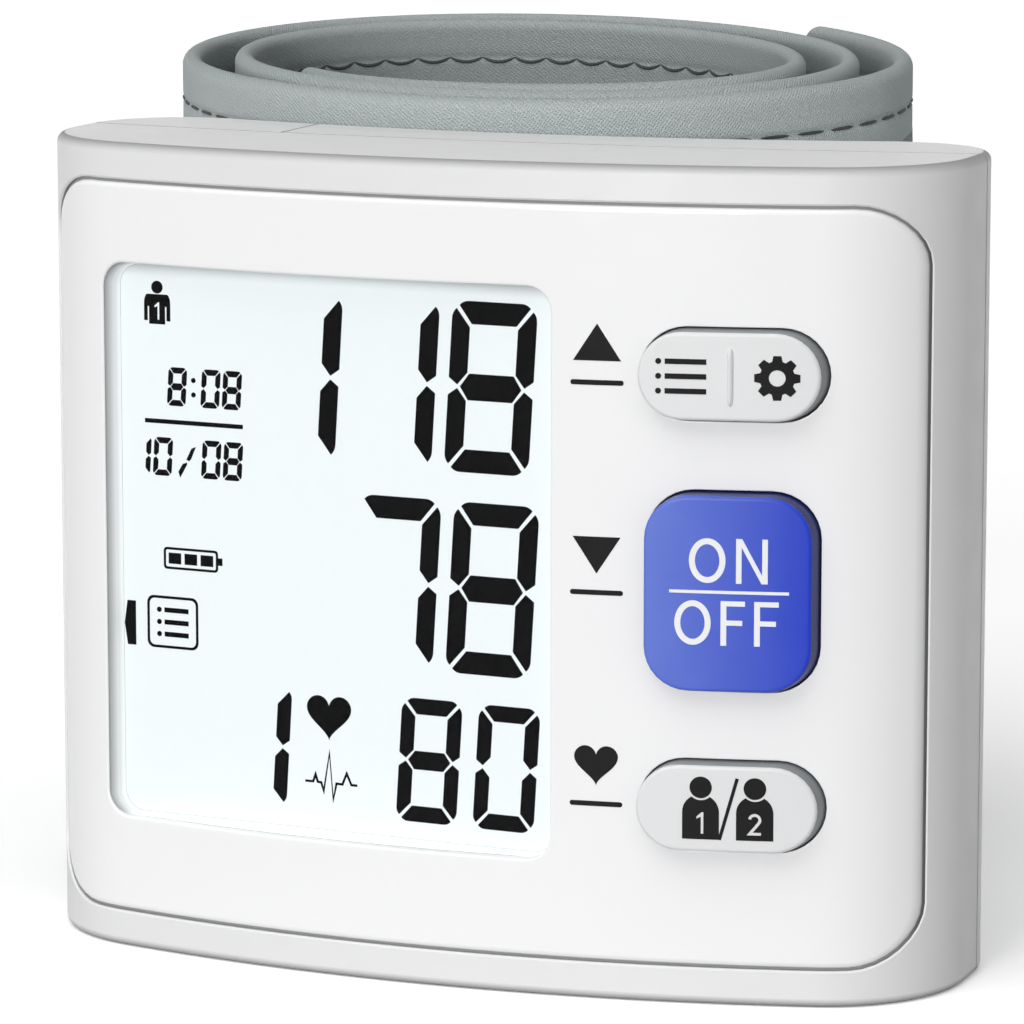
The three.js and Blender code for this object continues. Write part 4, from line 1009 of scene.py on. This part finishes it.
LETTER_O = ribbon([(1.17 * cos(t), 1.52 * sin(t))
                   for t in [2 * pi * i / 40 for i in range(40)]], 0.46, closed=True)
N_SIDE = [(-1.2, -1.75), (-0.78, -1.75), (-0.78, 1.1), (0.74, -1.75), (1.2, -1.75)]
LETTER_N = [N_SIDE + [(-x, -z) for x, z in N_SIDE]]
LETTER_F = [[(-0.9, -1.75), (-0.46, -1.75), (-0.46, -0.16), (0.75, -0.16), (0.75, 0.24), (-0.46, 0.24),
             (-0.46, 1.35), (0.95, 1.35), (0.95, 1.75), (-0.9, 1.75)]]
ON_Z, RULE_Z, OFF_Z = 35.66, 33.2, 30.77
START_MARK_X = 23.55
START_RULE = [rectangle(-4.56, 4.56, -0.12, 0.12)]
START_MARKS = ((LETTER_O, -1.65, ON_Z), (LETTER_N, 1.75, ON_Z), (LETTER_O, -2.75, OFF_Z),
               (LETTER_F, 0.3, OFF_Z), (LETTER_F, 2.85, OFF_Z), (START_RULE, 0.0, RULE_Z))
start_marks = [moved(mark, START_MARK_X + x, z) for mark, x, z in START_MARKS]
print_on("start_marks", start_marks, KEY_RISE, "start", "pale_plastic", INK_WHITE)


# Ridge across the middle of the rocker

RIDGE_X = KEY_X + 0.22
RIDGE_LENGTH, RIDGE_HALF, RIDGE_RISE, RIDGE_SINK = 4.56, 0.24, 0.3, 0.15
RIDGE_STEPS, RIDGE_ARC = 24, 12
RIDGE_TIP, RIDGE_BLUNT = 0.08, 8


def ridge():
    rings = []
    for i in range(RIDGE_STEPS + 1):
        share = i / RIDGE_STEPS
        z = MARK_Z + RIDGE_LENGTH * (share - 0.5)
        end = max(RIDGE_TIP, sqrt(max(0.0, 1 - (2 * share - 1) ** RIDGE_BLUNT)))
        half = RIDGE_HALF * end
        ring = [(x, front_y(x, -KEY_RISE) - rise, z)
                for x, rise in [(RIDGE_X + half * cos(a), RIDGE_RISE * end * sin(a))
                                for a in [pi * j / RIDGE_ARC for j in range(RIDGE_ARC + 1)]]]
        foot = front_y(RIDGE_X, -KEY_RISE) + RIDGE_SINK
        rings.append(ring + [(RIDGE_X - half, foot, z), (RIDGE_X + half, foot, z)])
    return new_object("rocker_ridge", *loft(rings))


seat(ridge(), "rocker", "key_grey", [FACE_GREY])


# Display: a gasket round the glass, seven-bar figures and signs on the front of the LCD

LCD_DEPTH = 1.05
LCD_PRINT = (-0.03, 0.05)
LENS_RECESS = 0.3
WINDOW_LEFT_Y = front_y(WINDOW_X - WINDOW_WIDTH / 2, 0)
WINDOW_RIGHT_Y = front_y(WINDOW_X + WINDOW_WIDTH / 2, 0)
TILT = atan2(WINDOW_RIGHT_Y - WINDOW_LEFT_Y, WINDOW_WIDTH)
DISPLAY_Y = (WINDOW_LEFT_Y + WINDOW_RIGHT_Y) / 2 + LENS_RECESS
SLANT = 0.063


def on_display(u, v, depth):
    return (WINDOW_X + u * cos(TILT) - depth * sin(TILT),
            DISPLAY_Y + u * sin(TILT) + depth * cos(TILT), WINDOW_Z + v)


def on_lcd(u, v, foot):
    return on_display(u, v, LCD_DEPTH + LCD_PRINT[foot])


GASKET_OUTER, GASKET_INNER = -0.03, -0.21
GASKET_RIM, GASKET_FOOT = 0.04, 1.06
GASKET_UNDER = 0.05
GASKET_SHADE = 2.0


def gasket():
    """Pale ring that closes the slit between the window and the lens, from the fascia's back inward."""
    opening = (-LEFT_MARGIN / 2, 0.0, WINDOW_WIDTH + LEFT_MARGIN, WINDOW_HEIGHT, WINDOW_CORNER)
    outer = rounded_loop(opening, GASKET_OUTER)
    right = WINDOW_WIDTH / 2 + GASKET_INNER
    narrow = 2 * right / (2 * right + LEFT_MARGIN)
    inner = [(right - (right - u) * narrow, v) for u, v in rounded_loop(opening, GASKET_INNER)]
    rim = [on_display(u, v, GASKET_RIM) for u, v in outer]
    verts = [(x, min(y, front_y(x, FASCIA_THICKNESS - GASKET_UNDER)), z) for x, y, z in rim]
    verts += [on_display(u, v, GASKET_FOOT) for u, v in inner + outer]
    count = len(outer)
    rings = [range(a, a + count) for a in (0, count, 2 * count, 0)]
    ob = new_object("lens_gasket", verts, [face for a, b in zip(rings, rings[1:]) for face in quads(a, b)])

    # Share of painted shade at each corner: full at the rim on the left and the top, fading over
    # GASKET_SHADE; the second value is 1 at the rim and 0 at the foot
    def tone(i, _):
        u, v = outer[i % count]
        left = ease((-u - WINDOW_WIDTH / 2 + GASKET_SHADE) / GASKET_SHADE)
        high = ease((v - WINDOW_HEIGHT / 2 + GASKET_SHADE) / GASKET_SHADE)
        return max(left, high), 1.0 if i < count else 0.0

    map_corners(ob, "shade", tone)
    return ob


seat(gasket(), "case", "pale_plastic", [GASKET])

BARS = {"0": "abcdef", "1": "bc", "7": "abc", "8": "abcdefg"}


def figure(sign, left, right, bottom, top, upright, level, gap):
    """Bars of one figure. left and right are its sides at half height. The fractions of the bars' widths
    and of the gap set how the bars' ends meet."""
    w, h = right - left, top - bottom
    half, r = h / 2, 0.75 * upright

    def corner(*degrees):
        turns = [radians(a) for a in degrees]
        return [(w - r + r * cos(t), h - r + r * sin(t)) for t in turns]

    def across(bar):
        return [(w - x, z) for x, z in reversed(bar)]

    def below(bar):
        return [(x, h - z) for x, z in reversed(bar)]

    upper = corner(45, 56, 67, 78, 90)
    squeeze = 1 - 1.5 * gap / w
    bar_a = upper + across(upper) + [(upright, h - level), (w - upright, h - level)]
    bar_a = [(w / 2 + (x - w / 2) * squeeze, z) for x, z in bar_a]
    bar_b = [(x, z - 0.75 * gap * (z - half) / half) for x, z in corner(45, 33, 22, 11, 0)]
    bar_b += [(w, half + 0.32 * upright + gap / 2), (w - 0.48 * upright, half + 0.4 * gap),
              (w - upright, half + 0.56 * level + 0.3 * gap), (w - upright, h - level - 0.75 * gap)]
    tip, start, rise = 0.5 * upright + 0.6 * gap, upright + 0.45 * gap, 0.58 * level
    bar_g = [(tip, half), (start, half + rise), (w - start, half + rise),
             (w - tip, half), (w - start, half - rise), (start, half - rise)]
    bars = {"a": bar_a, "b": bar_b, "c": below(bar_b), "d": below(bar_a),
            "e": across(below(bar_b)), "f": across(bar_b), "g": bar_g}
    return [[[(left + x + SLANT * (z - half), bottom + z) for x, z in bars[name]]] for name in BARS[sign]]


# Each row: bottom, top, width of upright and level bars, gap, width, and the figures with their right sides
ROWS = (
    (7.48, 21.07, 1.6, 1.82, 0.36, 7.38, [("1", 0.46), ("1", 9.03), ("8", 17.53)]),
    (-8.65, 5.12, 1.6, 1.82, 0.36, 7.42, [("7", 9.11), ("8", 17.67)]),
    (-21.05, -10.98, 1.25, 1.3, 0.3, 5.36, [("1", -4.2), ("8", 11.06), ("0", 17.88)]),
    (11.12, 14.26, 0.45, 0.49, 0.1, 1.7, [("8", -13.37), ("0", -10.3), ("8", -8.35)]),
    (5.37, 8.5, 0.45, 0.49, 0.1, 1.72, [("1", -16.7), ("0", -14.72), ("0", -10.28), ("8", -8.3)]),
)
screen = []
for low, high, upright, level, gap, width, figures in ROWS:
    for sign, right in figures:
        screen += figure(sign, right - width, right, low, high, upright, level, gap)

# Time and date: colon, rule and the two halves of the stroke
screen += [[circle(-12.72, z, 0.21, 20)] for z in (13.29, 12.12)]
screen += [[rectangle(-17.21, -8.23, 9.62, 9.98)]]
screen += [[[(-13.42, 6.82), (-13.2, 6.7), (-13.0, 6.86), (-12.54, 7.9), (-12.94, 7.75)]]]
screen += [[[(-14.17, 5.78), (-14.0, 5.32), (-13.36, 6.42), (-13.38, 6.58), (-13.75, 6.46)]]]

# Heart and pulse line
PULSE = [(-2.76, -18.6), (-2.05, -18.6), (-1.83, -18.0), (-1.63, -18.6), (-1.32, -18.62), (-1.09, -19.3),
         (-0.56, -16.15), (-0.24, -19.95), (0.06, -18.6), (0.6, -18.62), (0.99, -17.7), (1.41, -18.6),
         (1.94, -18.6)]
screen += [heart(-0.58, -13.3, 4.0), ribbon(PULSE, 0.19)]

# Marker, list in a frame, and battery
screen += [[[(-18.25, -5.1), (-19.02, -5.1), (-19.3, -6.95), (-19.02, -8.75), (-18.25, -8.75)]]]
screen += [[rounded(-17.18, -12.47, -8.8, -4.5, 0.6), rounded(-16.96, -12.69, -8.58, -4.72, 0.45)]]
screen += listed(-14.82, -6.65, 2.9, 1.0, 0.4)
screen += [[rounded(-15.6, -10.6, -2.25, -0.45, 0.3), rounded(-15.4, -10.8, -2.05, -0.65, 0.15)]]
screen += [[rectangle(-10.6, -10.2, -1.65, -1.05)]]
screen += [[rectangle(x, x + 1.15, -1.8, -0.9)] for x in (-15.15, -13.68, -12.2)]

# User sign
TORSO = arc(-15.98, 19.4, 1.2, 0, pi, 16)
TORSO += [(-17.18, 19.4), (-17.18, 17.95), (-16.86, 17.95), (-16.86, 19.1), (-16.72, 19.1), (-16.72, 17.68),
          (-15.26, 17.68), (-15.26, 19.1), (-15.12, 19.1), (-15.12, 17.95), (-14.78, 17.95)]
SHOULDER_TOP = 20.1
torso = [(u, min(v, SHOULDER_TOP)) for u, v in TORSO]
screen += [[circle(-15.98, 20.67, 0.52, 24)], [torso] + moved(NUMERAL_1, -15.97, 18.75, 0.78)]
stamp("lcd_figures", screen, on_lcd, "case", "lcd", LCD_INK)


# Cuff: the band's coil, as in the solids

BAND_HALF = 1.45
COIL_PITCH = 4.6
COIL_DEGREES, COIL_END = 918.0, 70.0
COIL_LONG = 20.4 + BAND_HALF + COIL_PITCH * COIL_DEGREES / 360
COIL_SHORT = 14.3 + BAND_HALF + COIL_PITCH * COIL_DEGREES / 360
COIL_TURN = radians(-22)
COIL_X = -12.7
CUFF_FRONT = inner_box("cuff_band")[0].y
CUFF_RISE, CUFF_SLOPE = 2.4, 0.0575


def spiral(degrees):
    shrink = COIL_PITCH * (COIL_END - degrees) / 360
    a = np.radians(degrees)
    x = (COIL_LONG - shrink) * np.cos(a)
    y = (COIL_SHORT - shrink) * np.sin(a)
    return np.stack([x * cos(COIL_TURN) - y * sin(COIL_TURN),
                     x * sin(COIL_TURN) + y * cos(COIL_TURN)], -1)


def coil_normal(degrees):
    ahead = spiral(degrees + 0.5) - spiral(degrees - 0.5)
    ahead /= np.linalg.norm(ahead, axis=-1, keepdims=True)
    return np.stack([ahead[..., 1], -ahead[..., 0]], -1)


NEAR = np.arange(0, -180, -0.5)
COIL_Y = CUFF_FRONT - (spiral(NEAR) + BAND_HALF * coil_normal(NEAR))[:, 1].min()

# Lengths along the band against the coil's angle; the free end reaches a little past the solid
END_REACH = 6.0
TABLE = np.arange(COIL_END - COIL_DEGREES, COIL_END + END_REACH + 0.01, 0.25)
STEPS = np.linalg.norm(np.diff(spiral(TABLE), axis=0), axis=1)
LENGTHS = np.concatenate([[0.0], np.cumsum(STEPS)])
BAND_LENGTH = LENGTHS[-1]


def length_at(degrees):
    return float(np.interp(degrees, TABLE, LENGTHS))


def angle_at(length):
    return np.interp(length, LENGTHS, TABLE)


# The cover is fuller than the solid at the sides, looser on the right, and its inner end sits lower
NEAREST_DEGREES, RIGHT_DEGREES = -62.0, 37.0
FULLNESS, FULL_DEGREES = 0.45, 40.0
LOOSENESS = 0.95
DROOP, DROOP_LENGTH = 0.75, 45.0


def coil_point(length, offset):
    degrees = angle_at(np.asarray(length, float))
    loose = LOOSENESS * max(0.0, cos(radians(float(degrees) - RIGHT_DEGREES))) ** 2
    return spiral(degrees) + (offset + loose) * coil_normal(degrees) + np.array([COIL_X, COIL_Y])


def on_band(length, offset, z):
    return (*coil_point(length, offset), z)


def half_at(length):
    """How far the cover's outer face lies from the middle of the band."""
    apart = (float(angle_at(length)) - NEAREST_DEGREES + 180) % 360 - 180
    return BAND_HALF + FULLNESS * (1 - exp(-(apart / FULL_DEGREES) ** 2))


def upper_edge(length):
    droop = DROOP * max(0.0, 1 - length / DROOP_LENGTH) ** 2
    return HEIGHT + CUFF_RISE + CUFF_SLOPE * (float(coil_point(length, 0.0)[1]) - CUFF_FRONT) - droop


EDGE_ROUND = 0.95
STITCH_DROP, SEAM_DROP = 3.85, 3.35
CREASE, CREASE_WIDTH = 0.16, 0.3
EDGE_ROWS = [0.04, 0.13, 0.28, 0.48, 0.72, 0.95, 1.5, 2.2, 2.8, 3.05, 3.2, 3.35, 3.5, 3.65, 3.85, 4.05, 4.3,
             5.2, 6.6, 8.0, 9.6, 11.2, 13.0]
MIDDLE_ROWS = 7
HEM = 1.7
PAD_START, PAD_RUN = 4.8, 8.0
END_ROUND, END_TAPER, END_THICK = 2.0, 1.2, 0.1
RING_PITCH = 1.4
END_RINGS, END_CLEAR = [0.0, 0.05, 0.15, 0.3, 0.5, 0.8, 1.2, 1.6, 2.0], 2.3
SEAM_RUN = 0.078


def crease(drop, seam):
    return CREASE * exp(-((drop - seam) / CREASE_WIDTH) ** 2)


def faces_at(length, drop):
    """Offsets of the outer and the inner face at a distance from the band's edge: a thin sewn hem,
    flush with the outer face, and the padding that swells inward below it."""
    middle = half_at(length) - HEM / 2
    half = HEM / 2
    if drop < EDGE_ROUND:
        half *= sqrt(1 - ((EDGE_ROUND - drop) / EDGE_ROUND) ** 2)
    padding = (middle - HEM / 2 + BAND_HALF) * ease((drop - PAD_START) / PAD_RUN)
    return middle + half - crease(drop, STITCH_DROP), middle - half - padding + crease(drop, SEAM_DROP)


def band_section(length):
    """Offset and height round the band at a length from its inner end."""
    top, bottom, thick = upper_edge(length), 0.0, 1.0
    away = min(length, BAND_LENGTH - length)
    if away < END_ROUND:
        cut = END_ROUND - sqrt(END_ROUND ** 2 - (END_ROUND - away) ** 2)
        top, bottom = top - cut, bottom + cut
    if away < END_TAPER:
        thick = max(END_THICK, sqrt(1 - ((END_TAPER - away) / END_TAPER) ** 2))
    plain = top - bottom - 2 * EDGE_ROWS[-1]
    rows = [bottom + d for d in EDGE_ROWS]
    rows += [rows[-1] + plain * k / (MIDDLE_ROWS + 1) for k in range(1, MIDDLE_ROWS + 1)]
    rows += [top - d for d in reversed(EDGE_ROWS)]
    middle = half_at(length) - HEM / 2
    sides = [faces_at(length, min(z - bottom, top - z)) for z in rows]
    outer = [(middle + thick * (a - middle), z) for (a, _), z in zip(sides, rows)]
    inner = [(middle + thick * (b - middle), z) for (_, b), z in zip(sides, rows)]
    return [(middle, bottom)] + outer + [(middle, top)] + inner[::-1]


def band_lengths(start, end):
    count = round((end - start) / RING_PITCH)
    lengths = [start + (end - start) * i / count for i in range(count + 1)]
    if start < 0.01:
        lengths = END_RINGS + [s for s in lengths if s > END_CLEAR]
    if end > BAND_LENGTH - 0.01:
        lengths = [s for s in lengths if s < BAND_LENGTH - END_CLEAR]
        lengths += [BAND_LENGTH - d for d in reversed(END_RINGS)]
    return lengths


def weave_map(ob, lengths, runs):
    """The cover's own coordinates: length along the band and way round it, in millimetres."""
    count = len(runs[0])

    def place(i, corners):
        ring, turn = divmod(i, count)
        closing = len(corners) == 4 and {c % count for c in corners} == {0, count - 1}
        return lengths[ring], runs[ring][-1] + SEAM_RUN if closing and turn == 0 else runs[ring][turn]

    map_corners(ob, "weave", place)


def inner_shade_map(ob, count):
    """Mask of the painted shade on the inner face: 0 on the outer face, 1 on the inner face, eased over the
    rounded edges.
    """
    turn = [0.5 * (1 - ease(d / EDGE_ROUND)) for d in EDGE_ROWS]
    outer = turn + [0.0] * MIDDLE_ROWS + turn[::-1]
    shares = [0.5] + outer + [0.5] + [1 - share for share in outer[::-1]]
    map_corners(ob, "lining", lambda i, _: (shares[i % count], 0.0))


def band_piece(name, start, end):
    lengths = band_lengths(start, end)
    rings, runs = [], []
    for s in lengths:
        section = band_section(s)
        rings.append([on_band(s, offset, z) for offset, z in section])
        steps = [dist(a, b) for a, b in zip(section, section[1:])]
        runs.append([0.0, *np.cumsum(steps)])
    ob = new_object(name, *loft(rings))
    weave_map(ob, lengths, runs)
    inner_shade_map(ob, len(rings[0]))
    return ob


def middle_of_band(degrees):
    return tuple(TO_FRAME @ Vector(on_band(length_at(degrees), 0.0, HEIGHT / 2)))


ROOT_DEGREES, BEND_DEGREES = -56, (-30, -10)
FLAP_START = length_at(ROOT_DEGREES)
BEND = [middle_of_band(degrees) for degrees in BEND_DEGREES]


def bend(ob, slot, *replaced):
    """Bakes a piece of the free flap in place and hides the solids it replaces."""
    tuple(BEND[0])
    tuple(BEND[1])
    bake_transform(ob)
    return declare(ob, slot, replaced)


band = seat(band_piece("cuff_cover", 0.0, FLAP_START), "case", "cloth", [CLOTH], ["cuff_band"], sharp=50)
flap = to_frame(band_piece("cuff_flap_cover", FLAP_START, BAND_LENGTH), [CLOTH], sharp=50)
bend(flap, "cloth", "cuff_flap")


# Sewing: dashes outside, a scalloped thread inside

THREAD_SIDES, THREAD_TIP, THREAD_BLUNT = 8, 0.25, 4
STITCH_PITCH, STITCH_LENGTH, STITCH_RADIUS, STITCH_SINK = 3.3, 2.5, 0.14, 0.1
SCALLOP_PITCH, SCALLOP_DROP, SCALLOP_RADIUS, SCALLOP_LIFT = 2.95, 0.42, 0.15, 0.04


def thread(places, radius, side):
    """A tapered thread through places on the band: length, offset and height. It lies on the outer
    face (side 1) or the inner face (-1)."""
    line = np.array([on_band(*place) for place in places])
    rings = []
    for i, p in enumerate(line):
        ahead = line[min(i + 1, len(line) - 1)] - line[max(i - 1, 0)]
        ahead /= np.linalg.norm(ahead)
        out = side * np.array([*coil_normal(angle_at(places[i][0])), 0.0])
        across = np.cross(ahead, out)
        share = i / (len(line) - 1)
        size = radius * max(THREAD_TIP, sqrt(max(0.0, 1 - (2 * share - 1) ** THREAD_BLUNT)))
        rings.append([tuple(p + across * a + out * b) for a, b in circle(0, 0, size, THREAD_SIDES)])
    return loft(rings)


def joined(name, solids):
    verts, faces = [], []
    for points, polygons in solids:
        base = len(verts)
        verts += points
        faces += [tuple(base + i for i in polygon) for polygon in polygons]
    return new_object(name, verts, faces)


def dash(middle, low):
    lengths = [middle + STITCH_LENGTH * (k / 6 - 0.5) for k in range(7)]
    return thread([(s, half_at(s) - STITCH_SINK, STITCH_DROP if low else upper_edge(s) - STITCH_DROP)
                   for s in lengths], STITCH_RADIUS, 1)


def stitches(name, start, end):
    count = int((end - start) / STITCH_PITCH)
    middles = [start + STITCH_PITCH * (i + 0.5) for i in range(count)]
    return joined(name, [dash(s, low) for s in middles for low in (False, True)])


def scallop(start):
    places = []
    for share in [k / 8 for k in range(9)]:
        s = start + SCALLOP_PITCH * share
        drop = SEAM_DROP + SCALLOP_DROP * (1 - (2 * share - 1) ** 2)
        places.append((s, faces_at(s, drop)[1] - SCALLOP_LIFT, upper_edge(s) - drop))
    return thread(places, SCALLOP_RADIUS, -1)


def scallops(name, start, end):
    count = int((end - start) / SCALLOP_PITCH)
    return joined(name, [scallop(start + SCALLOP_PITCH * i) for i in range(count)])


SEWING_MARGIN, SEAM_DEGREES = 3.0, 366
OUTER_TURN = length_at(COIL_END - 360)
INNER_TURN = length_at(COIL_END - COIL_DEGREES + SEAM_DEGREES)
seat(stitches("cuff_stitches", OUTER_TURN, FLAP_START), "case", "patch", [THREAD])
bend(to_frame(stitches("flap_stitches", FLAP_START, BAND_LENGTH - SEWING_MARGIN), [THREAD]), "patch")
seat(scallops("cuff_seam", SEWING_MARGIN, INNER_TURN), "case", "patch", [THREAD])


# Facings: loop panel on the outside of the flap, hook and loop tape where the coil closes

FACING_ENDS = (0.1, 0.4, 0.8)
FACING_ROWS = 12
FACING_BEVEL = 0.6

# Lift off the cover, thickness, distance from the band's edges, and radius of the corners
PANEL_FORM = (-0.15, 0.27, 6.2, 6.0)
TAPE_FORM = (0.03, 0.3, 12.0, 3.0)
PANEL_DEGREES, PANEL_MARGIN = 12, 5
TAPE_DEGREES = (32.5, 62.5)


def facing(name, start, end, side, lift, thick, drop, corner):
    """A flat piece on the outer side (1) or the inner side (-1) of the band, lifted off the cover."""
    count = max(8, round(end - start))
    lengths = {start + (end - start) * i / count for i in range(count + 1)}
    lengths |= {start + d for d in FACING_ENDS} | {end - d for d in FACING_ENDS}
    lengths = sorted(lengths)
    rings, runs = [], []
    for s in lengths:
        away = min(s - start, end - s)
        cut = corner - sqrt(max(0.0, corner ** 2 - (corner - away) ** 2)) if away < corner else 0.0
        top, bottom = upper_edge(s) - drop - cut, drop + cut
        inner = side * ((half_at(s) if side > 0 else BAND_HALF) + lift)
        outer = inner + side * thick
        edge = inner + FACING_BEVEL * (outer - inner)
        rows = [bottom + (top - bottom) * k / FACING_ROWS for k in range(1, FACING_ROWS)]
        outside = [(edge, bottom)] + [(outer, z) for z in rows] + [(edge, top)]
        section = [(inner, bottom)] + outside + [(inner, top)]
        rings.append([on_band(s, offset, z) for offset, z in section])
        runs.append([0.0] + [z for _, z in outside] + [0.0])
    ob = new_object(name, *loft(rings))
    weave_map(ob, lengths, runs)
    return ob


def tape(name, turn, side):
    """Tape where the coil closes: on the flap, or one turn further in."""
    start, end = [length_at(degrees + turn) for degrees in TAPE_DEGREES]
    return facing(name, start, end, side, *TAPE_FORM)


panel = facing("flap_panel", length_at(PANEL_DEGREES), BAND_LENGTH - PANEL_MARGIN, 1, *PANEL_FORM)
bend(to_frame(panel, [PANEL]), "patch")
seat(tape("hook_tape", 0, -1), "flap", "patch", [HOOKS], ["hook_patch"])
seat(tape("loop_tape", -360, 1), "case", "patch", [LOOPS], ["loop_patch"])


# Cells

def cell(node, nub_up):
    low, high = inner_box(node)
    x, y = (low.x + high.x) / 2, (low.y + high.y) / 2
    r, length = (high.x - low.x) / 2, high.z - low.z
    # Radius and distance from the flat end, to the tip of the nub
    profile = [(0.02, 0.0), (3.4, 0.0), (3.5, 0.12), (r - 0.6, 0.12), (r - 0.12, 0.2), (r, 0.5),
               (r, length - 1.5), (r - 0.1, length - 1.15), (r - 0.6, length - 1.0), (3.0, length - 1.0),
               (2.0, length - 0.85), (1.9, length - 0.7), (1.88, length - 0.12), (1.75, length),
               (0.02, length)]
    rings = []
    for radius, z in profile:
        z = low.z + z if nub_up else high.z - z
        rings.append([(px, py, z) for px, py in circle(x, y, radius, 56)])
    ob = new_object(node + "_can", *loft(rings))
    return two_tone(ob, CELL_TURNED if nub_up else CELL, NICKEL,
                    lambda corners: max(hypot(p.x - x, p.y - y) for p in corners) < r - 0.3)


seat(cell("battery_1", True), "case", "cell", [], ["battery_1"], sharp=40)
seat(cell("battery_2", False), "case", "cell", [], ["battery_2"], sharp=40)


# Solids that stay: materials only

KEPT = (
    (LCD, "lcd_panel"),
    (LENS, "display_lens"),
    (PALE, "lcd_tray battery_cradle air_manifold air_nozzle"),
    (RUBBER, "zebra_strip"),
    (BOARD, "main_board"),
    (STEEL, "board_screw_1 board_screw_2 case_screw_1 case_screw_2 case_screw_3 case_screw_4"),
    (STEEL, "contact_spring_1 contact_spring_2 pump_motor bleed_valve"),
    (DARK, "switch_memory switch_set switch_start switch_user"),
    (DARK, "controller_chip buzzer pressure_sensor pump_head"),
    (NICKEL, "contact_bridge contact_positive contact_negative"),
    (HOSE, "air_tube_pump air_tube_valve air_tube_sensor"),
    (SHELL, "cuff_saddle"),
    (FILM, "cuff_bladder cuff_shaper"),
)
for kept_material, kept_names in KEPT:
    for kept_name in kept_names.split():
        NODES[kept_name].data.materials.clear()
        NODES[kept_name].data.materials.append(kept_material)


# Floor, light and camera

FLOOR_SIZE, FLOOR_GAP = 8.0, 0.02 * MM
FLOOR_GLOW = 0.19
FLOOR_SEEN, FLOOR_BOUNCE = (1.25, 1.25, 1.25), (0.42, 0.42, 0.425)
floor_corners = rectangle(-FLOOR_SIZE, FLOOR_SIZE, -FLOOR_SIZE, FLOOR_SIZE)
floor = new_object("floor", [(x, y, 0) for x, y in floor_corners], [(0, 1, 2, 3)])
floor.location.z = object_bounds()[0][2] - FLOOR_GAP

floor_paint = Paint("floor_paper", FLOOR_SEEN, 0.9, Specular_IOR_Level=0.0, Emission_Color=(1, 1, 1))
seen = floor_paint.seen_directly()
fibres = floor_paint.spread(floor_paint.noise(floor_paint.place(), scale=40), 0, 0.02)
paper = floor_paint.mix(fibres, FLOOR_SEEN, FLOOR_BOUNCE)
floor_paint.set(Base_Color=floor_paint.mix(seen, FLOOR_BOUNCE, paper),
                Emission_Strength=floor_paint.math("MULTIPLY", seen, FLOOR_GLOW))
floor.data.materials.append(floor_paint.mat)

# The world lights the part more from the right than from the left, and is seen as white
WORLD_LEFT, WORLD_RIGHT = 0.05, 0.49
world = bpy.data.worlds.new("studio")
SCENE.world = world
world.use_nodes = True
sky = Graph(world.node_tree)
rightward = sky.spread(sky.parts(sky.place("Generated"))["X"], 0, 1, -1, 1)
room = sky.mix(rightward, (WORLD_LEFT,) * 3, (WORLD_RIGHT,) * 3)
sky.set_inputs(world.node_tree.nodes["Background"], {"Color": sky.mix(sky.seen_directly(), room, (1, 1, 1))})


def lamp(name, azimuth, elevation, softness, level):
    """A distant soft light; level is what it adds to a white face turned to it. Azimuth 0 is in front."""
    light = bpy.data.lights.new(name, "SUN")
    light.angle = radians(softness)
    light.energy = level * pi
    add_object(name, light).rotation_euler = (radians(90 - elevation), 0, radians(azimuth))


lamp("key", azimuth=-20, elevation=59, softness=60, level=0.41)
lamp("front", azimuth=-3, elevation=8, softness=14, level=0.51)

CAMERA_PLACE = (154.03, -396.99, 108.0)
CAMERA_AZIMUTH, CAMERA_ELEVATION = radians(20.45), radians(9.30)
CAMERA_LENS, CAMERA_SENSOR = 193.56, 36.0
camera = add_object("camera", bpy.data.cameras.new("camera"))
camera.location = TO_FRAME @ Vector(CAMERA_PLACE)
camera.rotation_euler = (pi / 2 - CAMERA_ELEVATION, 0, CAMERA_AZIMUTH)
camera.data.sensor_width = CAMERA_SENSOR
camera.data.lens = CAMERA_LENS
camera.data.clip_start = 0.01
SCENE.camera = camera
SCENE.view_settings.view_transform = "Standard"
